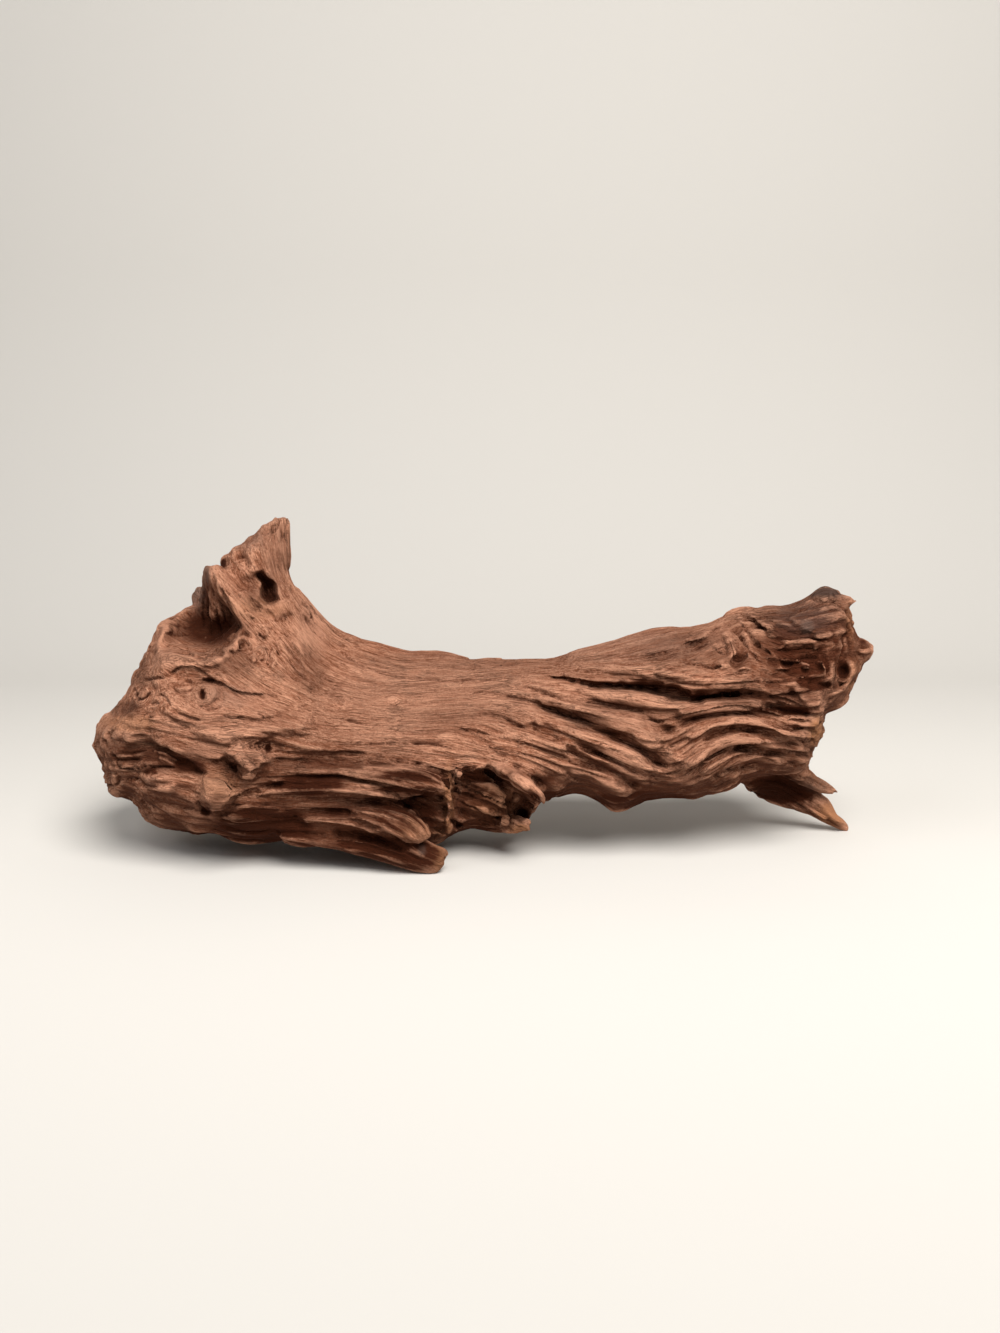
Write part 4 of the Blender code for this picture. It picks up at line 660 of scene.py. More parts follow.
        (0.8, 104, 88, 3, 1.6), (0.8, 96, 82, 1.6, 3), (2.4, -31, 28.4, 2.6, 1.2),
        (1.6, -103.6, 62.2, 1.2, 0.9), (1.4, 79.4, 34.4, 1.2, 1.0), (1.4, 83.6, 33.4, 1.2, 1.0),
        (1.4, 81.4, 30.8, 1.4, 1.0), (1.2, 85, 30.8, 1.2, 0.9), (1.4, 66, 30, 1.6, 1),
    ],
    "knobs": [
        (3.8, -104.2, 28.6, 4.8, 5.4), (2.0, -96, 74, 9, 7), (2.4, -110, 60, 12, 6),
        (2.0, -105, 65, 3.8, 3.6), (2.5, -139, 52, 7, 4.4), (1.8, -39, 62.5, 3, 1.8),
        (2.6, 76, 86, 5, 3.6), (2, 108, 91, 9, 6), (2.5, -88, 57, 12, 6), (2, 74, 39, 6, 4),
        (2.4, -89, 118, 6, 6), (3.2, 20, 29.2, 4.2, 2.6), (2.0, -87, 44, 5, 3), (1.0, 111, 82.8, 1.2, 0.7),
        (1.0, 113.8, 83.4, 1.0, 0.6), (1.0, 115, 81.4, 1.4, 0.6), (0.9, 104, 82.8, 1.2, 0.6),
        (0.9, 107.6, 83.4, 0.9, 0.6), (1.2, 122, 82, 2.4, 1.2), (1.6, -141, 36, 4, 4),
        (1.6, -124.6, 34, 4, 2), (1.8, 114.5, 53.5, 2.6, 1.6), (1.6, 115, 48, 2.4, 1.3),
        (3.4, 0, 24.4, 7, 5), (1.5, -8, 98, 4, 4), (1.2, -79, 84, 2, 3),
    ],
}
# The side away from the eye, carved the same way on the upright plane of real x and z.
backCarving = {
    "strength": 1.2,
    "hollows": [
        (7, 7, [(-126, 50), (-119, 68), (-106, 72), (-97, 62), (-101, 49), (-113, 43)]),
        (6, 5, [(52, 33), (66, 42), (84, 48), (103, 52), (108, 44), (90, 36), (70, 29)]),
    ],
    "ledges": [
        (5, 8, [(-70, 48), (-45, 44), (-20, 46), (0, 43)]),
        (4, 6, [(-95, 100), (-88, 96), (-80, 98)]),
    ],
    "grooves": [
        (3.2, 3.0, [(-76, 100), (-66, 86), (-46, 74), (-16, 68), (22, 69), (62, 77), (104, 90)]),
        (2.6, 2.4, [(-62, 60), (-30, 57), (10, 52), (50, 57), (88, 67), (122, 73)]),
        (2.2, 2.2, [(-84, 34), (-52, 30), (-22, 33), (16, 36), (44, 35)]),
        (2.4, 2.4, [(-122, 78), (-106, 82), (-92, 90), (-86, 106)]),
        (2.2, 2.2, [(-138, 52), (-128, 40), (-108, 34), (-90, 30)]),
        (2.2, 2.0, [(14, 60), (44, 66), (76, 74), (104, 79)]),
        (2.0, 1.8, [(-52, 66), (-26, 62), (4, 60)]),
        (1.8, 1.4, [(-20, 49), (12, 46), (44, 47), (70, 54)]),
        (1.8, 1.4, [(-134, 62), (-122, 60), (-110, 56)]),
        (1.8, 1.4, [(60, 62), (84, 72), (110, 82)]),
    ],
    "cracks": [
        (2.4, 0.9, [(-60, 71), (-30, 63), (0, 57), (26, 56)]),
        (2.2, 0.9, [(30, 73), (60, 80), (92, 90)]),
        (2.2, 0.9, [(-100, 74), (-84, 66), (-66, 61)]),
        (2.0, 0.9, [(-50, 37), (-20, 37), (10, 40)]),
    ],
    "ridges": [
        (2.4, 3.4, [(-64, 76), (-30, 67), (10, 60), (46, 62), (90, 73)]),
        (2.2, 3.0, [(-60, 40), (-20, 40), (24, 43), (62, 50), (108, 62)]),
    ],
    "pits": [(3, -88, 70, 4, 4), (3, 20, 63, 3, 2), (3, 96, 84, 3, 3)],
    "knobs": [(4, -58, 52, 15, 9), (3.5, 34, 58, 13, 7), (4, 96, 66, 10, 8), (3, -96, 84, 10, 8)],
}


def lineDistance(a, b, line):
    # to each stretch: across it by the cross product, along it by the dot product held to its ends
    line = np.array(line, float)
    lengths = np.linalg.norm(np.diff(line, axis=0), axis=1)
    reached = np.concatenate([[0], np.cumsum(lengths)])
    nearest = np.full(a.shape, np.inf)
    side = np.ones(a.shape)
    progress = np.zeros(a.shape)
    for (a0, b0), (a1, b1), length, soFar in zip(line[:-1], line[1:], lengths, reached):
        da, db = (a1 - a0) / length, (b1 - b0) / length
        t = np.clip((a - a0) * da + (b - b0) * db, 0, length)
        distance = np.hypot(a - a0 - t * da, b - b0 - t * db)
        closer = distance < nearest
        nearest = np.where(closer, distance, nearest)
        side = np.where(closer, np.sign((a - a0) * db - (b - b0) * da), side)
        progress = np.where(closer, soFar + t, progress)
    return nearest, side, progress, reached[-1]


def insideOutline(a, b, outline):
    # distance to the outline where a ray to the side crosses it an odd number of times, else 0
    distance = lineDistance(a, b, outline + outline[:1])[0]
    crossings = np.zeros(a.shape, int)
    for (a0, b0), (a1, b1) in zip(outline, outline[1:] + outline[:1]):
        if b0 != b1:
            crossings += ((b0 > b) != (b1 > b)) & (a < a0 + (a1 - a0) * (b - b0) / (b1 - b0))
    return np.where(crossings % 2 == 1, distance, 0)


def hollowing(a, b, hollows):
    # each hollow's depth, eased in from its outline, which noise makes ragged; a rise has depth below nought
    depth = np.zeros(a.shape)
    place = np.stack([a, b, 0 * a], axis=1) / raggedness["size"]
    a = a + raggedness["stray"] * (smoothNoise(place, 61) - 0.5)
    b = b + raggedness["stray"] * (smoothNoise(place, 62) - 0.5)
    for deep, slope, outline in hollows:
        depth += deep * eased(insideOutline(a, b, outline) / slope)
    return depth


def nearLine(a, b, line, reach):
    # picks the points whose a, b lie within reach of the line's own rectangle
    low, high = np.min(line, axis=0) - reach, np.max(line, axis=0) + reach
    return np.flatnonzero((a > low[0]) & (a < high[0]) & (b > low[1]) & (b < high[1]))


def tapered(progress, length, share):
    # one along a stroke, easing to nothing over this share of it at each end
    return eased(progress / length / share) * eased((1 - progress / length) / share)


def broadRelief(a, b, cuts):
    # ridges and knobs as bell curves of the distance, less grooves, ledges, pits and hollows
    height = -hollowing(a, b, cuts["hollows"])
    for deep, fade, edge in cuts["ledges"]:
        at = nearLine(a, b, edge, 4 * fade)
        distance, side, progress, length = lineDistance(a[at], b[at], edge)
        below = side * distance
        drop = eased((below + 0.3) / 1.3) * np.exp(-np.maximum(below, 0) / fade)
        height[at] -= deep * tapered(progress, length, 0.15) * drop
    for sign, strokes in ((-1, cuts["grooves"]), (1, cuts["ridges"])):
        for high, width, line in strokes:
            at = nearLine(a, b, line, 3 * width)
            distance, _, progress, length = lineDistance(a[at], b[at], line)
            swell = tapered(progress, length, 0.12) * np.exp(-((distance / width) ** 2))
            height[at] += sign * cuts["strength"] * high * swell
    for sign, spots in ((-1, cuts["pits"]), (1, cuts["knobs"])):
        for high, atA, atB, wide, tall in spots:
            height += sign * high * np.exp(-(((a - atA) / wide) ** 2) - ((b - atB) / tall) ** 2)
    return height


def crackDepth(a, b, cuts):
    # a sharp V: depth times one less distance over width, tapering at the ends
    depth = np.zeros(a.shape)
    for deep, width, line in cuts["cracks"]:
        at = nearLine(a, b, line, 2 * width)
        distance, _, progress, length = lineDistance(a[at], b[at], line)
        cut = deep * tapered(progress, length, 0.2) * np.clip(1 - distance / width, 0, 1)
        depth[at] = np.maximum(depth[at], cut)
    return depth


# The grain: guide lines that the fibres follow, from the top down, and the knots that they go round.
grain = {
    "spacing": 7.0,          # grain millimetres between neighbouring guides
    "guides": [
        [(-70, 150), (-66, 120), (-58, 102), (-45, 93), (-20, 90), (10, 90), (40, 96), (80, 106), (120, 118),
         (150, 122)],
        [(-77, 145), (-76, 112), (-68, 97), (-55, 87), (-35, 80.5), (0, 78), (25, 80), (50, 86.5),
         (80, 92.5), (105, 98), (120, 104), (145, 106)],
        [(-83, 145), (-80, 112), (-72, 95), (-60, 84), (-42, 75.5), (-15, 74.5), (5, 76), (30, 77),
         (50, 79.5), (68, 85), (80, 90), (95, 93), (108, 93), (125, 96), (145, 97)],
        [(-92, 145), (-87, 120), (-80, 101), (-74, 90), (-63, 78), (-45, 71), (-15, 71.5), (8, 73.8),
         (30, 73.5), (55, 74), (70, 78), (82, 83), (94, 86), (106, 82), (118, 84), (135, 86)],
        [(-104, 145), (-100, 118), (-91, 103), (-83, 92), (-76, 83), (-66, 72), (-45, 67), (-15, 68.5),
         (5, 71), (25, 70.5), (50, 68), (62, 67), (75, 66.5), (90, 66.5), (105, 65), (115, 66), (128, 70),
         (142, 72)],
        [(-112, 135), (-104, 108), (-96, 94), (-89, 84), (-80, 76), (-68, 67.5), (-48, 63.5), (-20, 64.5),
         (0, 66), (12, 65), (30, 61.5), (50, 58.5), (60, 57), (70, 59), (85, 61.5), (98, 60.5),
         (110, 57.5), (122, 58), (138, 60)],
        [(-128, 118), (-112, 97), (-100, 84), (-90, 74), (-75, 66), (-62, 61.5), (-40, 59), (-18, 60),
         (0, 61), (12, 59), (28, 55.5), (44, 52), (55, 48), (62, 48.5), (72, 54), (84, 56), (97, 54),
         (108, 50), (120, 50), (138, 50)],
        [(-140, 105), (-124, 86), (-110, 76), (-98, 70), (-82, 61), (-66, 56.5), (-40, 55), (-20, 56),
         (-5, 57), (6, 53.5), (20, 49), (34, 44.5), (48, 39), (58, 35.5), (66, 36), (74, 41), (86, 47),
         (100, 46), (112, 43.5), (135, 42)],
        [(-150, 88), (-134, 74), (-120, 67), (-105, 61), (-88, 56.5), (-68, 51), (-40, 50), (-18, 51),
         (-5, 47), (8, 44.5), (22, 40), (36, 35.5), (50, 30.5), (62, 28), (72, 31), (82, 37), (94, 40),
         (108, 38), (118, 34.5), (135, 30)],
        [(-160, 70), (-142, 60), (-125, 56), (-108, 53), (-88, 51), (-66, 46), (-40, 45), (-18, 42),
         (-4, 40.5), (8, 36.5), (18, 29.5), (26, 24), (40, 20), (60, 20), (80, 26), (96, 33), (108, 28),
         (118, 22), (130, 16)],
        [(-165, 52), (-146, 48), (-128, 50), (-112, 46), (-98, 42), (-80, 42), (-60, 40.5), (-40, 38.8),
         (-25, 36), (-12, 31), (0, 26), (12, 18), (30, 12), (60, 12), (84, 20), (98, 26), (110, 19),
         (124, 10)],
        [(-165, 40), (-146, 40), (-128, 40), (-112, 37), (-98, 34), (-80, 33.5), (-60, 34.3), (-40, 32),
         (-26, 28), (-14, 22), (0, 17), (14, 12), (40, 4), (70, 4), (100, 14), (125, 2)],
        [(-165, 28), (-142, 30), (-124, 30), (-108, 27), (-92, 27), (-75, 26), (-55, 26), (-40, 24),
         (-31, 19), (-24, 13), (-10, 8), (10, 5), (50, -4), (120, -8)],
        [(-160, 15), (-138, 22), (-120, 21), (-104, 19), (-85, 19.5), (-65, 19), (-50, 17.5), (-38, 12),
         (-28, 6), (-15, 1), (10, -3), (50, -14), (120, -18)],
        [(-150, 5), (-130, 14), (-110, 12), (-88, 10.5), (-65, 10), (-50, 7), (-38, 3.5), (-26, 0),
         (-10, -5), (20, -12), (60, -22), (120, -28)],
        [(-150, -15), (-120, -6), (-80, -8), (-50, -12), (-20, -20), (40, -34), (120, -45)],
    ],
    "knots": [               # a, b, radius
        (-107.9, 64.9, 5), (-39, 62.5, 1.4), (-131, 64, 5), (124.8, 73.5, 2), (-128, 36, 1.6),
        (-58, 61, 1.6), (-88, 79, 2.4), (-94, 82, 2),
    ],
    "gridLow": (-162.0, -22.0), "gridStep": 0.8, "gridCount": (400, 216),
}


def grainGrid():
    # across the grain: spacing times the sum of how far each gap between guides is crossed
    # along the grain: distance run along the two guides on either side, blended by the same share
    low, step, count = grain["gridLow"], grain["gridStep"], grain["gridCount"]
    sides = [start + step * np.arange(number) for start, number in zip(low, count)]
    a, b = np.meshgrid(*sides, indexing="ij")
    measured = []
    for guide in grain["guides"]:
        distance, side, progress, _ = lineDistance(a, b, smoothPath(guide, 70))
        measured.append((distance * side, progress))
    across = np.zeros(a.shape)
    runs = measured[0][1].copy()
    for (upperGap, _), (lowerGap, lowerRun) in zip(measured[:-1], measured[1:]):
        share = np.clip(upperGap / np.maximum(upperGap - lowerGap, 1e-6), 0, 1)
        across += share
        runs += share * (lowerRun - runs)
    across *= grain["spacing"]
    for _ in range(6):                               # soften both fields a little
        for field in (across, runs):
            field[1:-1, 1:-1] += 0.2 * (field[2:, 1:-1] + field[:-2, 1:-1] + field[1:-1, 2:]
                                        + field[1:-1, :-2] - 4 * field[1:-1, 1:-1])
    for atA, atB, radius in grain["knots"]:          # fibres part round each knot like a stream round a post
        i, j = int((atA - low[0]) / step), int((atB - low[1]) / step)
        own = across[i, j]
        away = np.hypot(a - atA, b - atB)
        parted = own + (across - own) * (1 - radius**2 / np.maximum(away, radius) ** 2
                                         * eased((6 * radius - away) / (3 * radius)))
        across = np.where(away < radius, own + radius - away, parted)
    return across, runs


def readGrid(field, a, b):
    # blends the four nearest grid values by the shares of the cell
    low, step = grain["gridLow"], grain["gridStep"]
    i = np.clip((a - low[0]) / step, 0, field.shape[0] - 1.001)
    j = np.clip((b - low[1]) / step, 0, field.shape[1] - 1.001)
    i0, j0 = i.astype(int), j.astype(int)
    fi, fj = i - i0, j - j0
    return ((1 - fi) * (1 - fj) * field[i0, j0] + fi * (1 - fj) * field[i0 + 1, j0]
            + (1 - fi) * fj * field[i0, j0 + 1] + fi * fj * field[i0 + 1, j0 + 1])


def grainPlace(points, across, runs):
    # grain coordinates: along the fibres, across them, and the real depth
    a, b = seenAt(points)
    return np.stack([readGrid(runs, a, b), readGrid(across, a, b), points[:, 1]], axis=1)


latticeSide = 32


def smoothNoise(points, seed):
    # seeded values on a unit lattice, eased between the eight corners of each cell
    values = np.random.default_rng(seed).random((latticeSide,) * 3).astype(np.float32)
    cell = np.floor(points).astype(int)
    ease = eased(points - cell)
    total = np.zeros(len(points))
    for corner in np.ndindex(2, 2, 2):
        weight = np.prod(np.where(corner, ease, 1 - ease), axis=1)
        i, j, k = ((cell + corner) % latticeSide).T
        total += weight * values[i, j, k]
    return total


def pointArrays(mesh):
    # the places and the normals of all points
    points = np.empty(len(mesh.vertices) * 3, np.float32)
    normals = np.empty(len(mesh.vertices) * 3, np.float32)
    mesh.vertices.foreach_get("co", points)
    mesh.vertices.foreach_get("normal", normals)
    return points.reshape(-1, 3).astype(float), normals.reshape(-1, 3).astype(float)


def edgeEnds(mesh):
    # the two point numbers of every edge
    ends = np.empty(len(mesh.edges) * 2, np.int32)
    mesh.edges.foreach_get("vertices", ends)
    return ends.reshape(-1, 2)


def setPoints(mesh, points):
    mesh.vertices.foreach_set("co", points.astype(np.float32).ravel())
    mesh.update()


def sightAndFacing(points, normals):
    # the direction of sight at each point, and its dot product with the inward normal
    line = points - eye
    line /= np.linalg.norm(line, axis=1, keepdims=True)
    return line, -np.sum(line * normals, axis=1)


def carveFront(piece, height):
    # moves the surface that the eye sees towards the eye by height of a, b
    points, normals = pointArrays(piece.data)
    line, facing = sightAndFacing(points, normals)
    push = height(*seenAt(points)) * eased((facing - 0.02) / 0.33)
    setPoints(piece.data, points - line * push[:, None])


def carveBack(piece, height):
    # moves the surface that faces away from the eye back by height of x, z
    points, normals = pointArrays(piece.data)
    points[:, 1] += height(points[:, 0], points[:, 2]) * eased((normals[:, 1] - 0.1) / 0.4)
    setPoints(piece.data, points)


# The fibres: for each layer, its length along, across and deep, and its height.
# Patches: (value, a, b, half width, half height).
fibres = {
    "layers": [(60, 6.5, 7.5, 0.9), (44, 3.4, 3.8, 0.95), (30, 1.8, 2.1, 0.6)],
    "checks": (90, 4.2, 5.0, 1.6),
    "lumps": [(15, 1.2), (6.5, 0.5)],
    "smoothPatches": [
        (0.55, -25, 66, 38, 12), (0.45, -5, 50, 12, 7), (0.3, -92, 116, 14, 12), (0.3, -100, 62, 22, 10),
        (0.6, -104, 28, 7, 8), (0.25, 45, 58, 20, 8),
    ],
    "roughPatches": [
        (0.5, 108, 84, 22, 18), (0.4, -126, 38, 14, 8), (0.6, -8, 25, 12, 14), (0.2, -40, 24, 40, 12),
        (0.5, 82, 32, 6, 5), (0.2, -110, 87, 12, 9), (0.5, 116, 50, 5, 12),
    ],
    # bands lie over each other like shingles: how far apart, how high, how far they stray
    "bands": [(5.2, 1.35, 5.0), (2.4, 0.8, 2.6)],
    "bandPatches": [
        (1.0, 62, 48, 52, 15), (0.8, 50, 66, 46, 6), (0.5, 94, 64, 20, 6), (0.45, 55, 80, 44, 6),
        (0.7, -62, 28, 44, 14), (0.35, -100, 24, 26, 8), (0.22, -30, 62, 60, 16), (0.5, -4, 26, 12, 13),
        (0.4, 108, 86, 20, 14), (0.35, -78, 96, 12, 30), (0.5, 106, 26, 14, 10), (0.5, -30, 4, 14, 6),
        (0.3, -110, 88, 12, 8), (0.35, -116, 52, 26, 10),
    ],
}


def bandHeight(coordinate, seed):
    # rises slowly down each band and falls fast at its lower edge; noise moves the edges, varies the height
    height = np.zeros(len(coordinate))
    for number, (apart, high, stray) in enumerate(fibres["bands"]):
        shift = stray * (smoothNoise(coordinate / (44, 9, 9) + number, seed + number) - 0.5)
        lift = 0.35 + 1.3 * smoothNoise(coordinate / (30, apart * 1.3, 9) + 5.3, seed + 7 + number)
        share = np.mod((coordinate[:, 1] + shift) / apart + 0.11 * coordinate[:, 2] / apart, 1)
        height += high * lift * (eased(share / 0.82) * eased((1 - share) / 0.16) - 0.5)
    return height


def patchAmount(a, b, patches):
    # a soft-edged oval: one inside, easing to nothing beyond its half sizes
    amount = np.zeros(a.shape)
    for value, atA, atB, wide, tall in patches:
        away = np.sqrt(((a - atA) / wide) ** 2 + ((b - atB) / tall) ** 2)
        amount = np.maximum(amount, value * eased(1.5 - away))
    return amount


def carveFibres(piece, across, runs):
    # along the normals: ridged noise in grain coordinates, checks where a noise crosses its middle, lumps
    points, normals = pointArrays(piece.data)
    a, b = seenAt(points)
    _, facing = sightAndFacing(points, normals)
    coordinate = grainPlace(points, across, runs)
    height = np.zeros(len(points))
    for seed, (long, wide, deep, high) in enumerate(fibres["layers"]):
        wave = smoothNoise(coordinate / (long, wide, deep) + 3.1 * seed, 11 + seed)
        height += high * (2.4 * np.abs(wave - 0.5) - 0.5)
    long, wide, deep, depth = fibres["checks"]
    wave = smoothNoise(coordinate / (long, wide, deep) + 9.7, 21)
    where = eased((smoothNoise(points / 26 + 4.2, 22) - 0.42) / 0.2)
    height -= depth * where * np.clip(1 - np.abs(wave - 0.5) / 0.05, 0, 1)
    for seed, (size, high) in enumerate(fibres["lumps"]):
        height += high * (smoothNoise(points / size + 1.7 * seed, 31 + seed) - 0.5) * 1.6
    front = eased(facing / 0.3)
    banded = patchAmount(a, b, fibres["bandPatches"]) * eased((facing + 0.1) / 0.4)
    height *= 1 - 0.45 * banded
    height += banded * bandHeight(coordinate, 51)
    roughHere = patchAmount(a, b, fibres["roughPatches"])
    rough = 1 + front * (roughHere - patchAmount(a, b, fibres["smoothPatches"]))
    rough = rough * (1 + 0.35 * (1 - front))
    buried = front * eased(hollowing(a, b, carving["hollows"]) / 3)
    crumbs = smoothNoise(points / 2.6, 41) + 0.5 * smoothNoise(points / 1.4, 42) - 0.75
    height = height * rough + 0.9 * crumbs * roughHere * front
    height *= (1 - 0.6 * buried) * eased((points[:, 2] - 1.5) / 6)
    height -= crackDepth(a, b, carving) * eased((facing - 0.02) / 0.3)
    height -= crackDepth(points[:, 0], points[:, 2], backCarving) * eased((normals[:, 1] - 0.1) / 0.3)
    setPoints(piece.data, points + normals * height[:, None])


def thinOut(piece, triangles):
    # the side that the eye sees keeps its squares longest
    points, normals = pointArrays(piece.data)
    _, facing = sightAndFacing(points, normals)
    weight = np.round(1 - 0.75 * eased((facing + 0.1) / 0.4), 1)
    group = piece.vertex_groups.new(name="thinFirst")
    for level in np.unique(weight):
        group.add(np.flatnonzero(weight == level).tolist(), float(level), "REPLACE")
    piece.data.calc_loop_triangles()
    thinner = piece.modifiers.new("fewerTriangles", "DECIMATE")
    thinner.ratio = triangles / len(piece.data.loop_triangles)
    thinner.vertex_group = "thinFirst"
    thinner.vertex_group_factor = 1.0
    thinner.use_collapse_triangulate = True
    piece.data = finishedMesh(piece)
    piece.modifiers.clear()
    piece.vertex_groups.clear()


def dropCrumbs(piece):
    # keeps the shell that the highest point is on: the reach spreads along the edges until it grows no more
    mesh = piece.data
    points, _ = pointArrays(mesh)
    ends = edgeEnds(mesh)
    reached = np.zeros(len(points), bool)
    reached[np.argmax(points[:, 2])] = True
    front = reached[ends[:, 0]] != reached[ends[:, 1]]
    while front.any():
        reached[ends[front].ravel()] = True
        front = reached[ends[:, 0]] != reached[ends[:, 1]]
    body = bmesh.new()
    body.from_mesh(mesh)
    body.verts.ensure_lookup_table()
    bmesh.ops.delete(body, geom=[body.verts[at] for at in np.flatnonzero(~reached)], context="VERTS")
    body.to_mesh(mesh)
    body.free()


def standOnFloor(piece):
    # cuts the three feet flat at the floor
    body = bmesh.new()
    body.from_mesh(piece.data)
    everything = body.verts[:] + body.edges[:] + body.faces[:]
    cut = bmesh.ops.bisect_plane(body, geom=everything, dist=1e-4, plane_co=(0, 0, 0), plane_no=(0, 0, -1),
                                 clear_outer=True)
    rim = [part for part in cut["geom_cut"] if isinstance(part, bmesh.types.BMEdge)]
    bmesh.ops.holes_fill(body, edges=rim)
    bmesh.ops.triangulate(body, faces=body.faces[:])
    bmesh.ops.recalc_face_normals(body, faces=body.faces)
    body.to_mesh(piece.data)
    body.free()


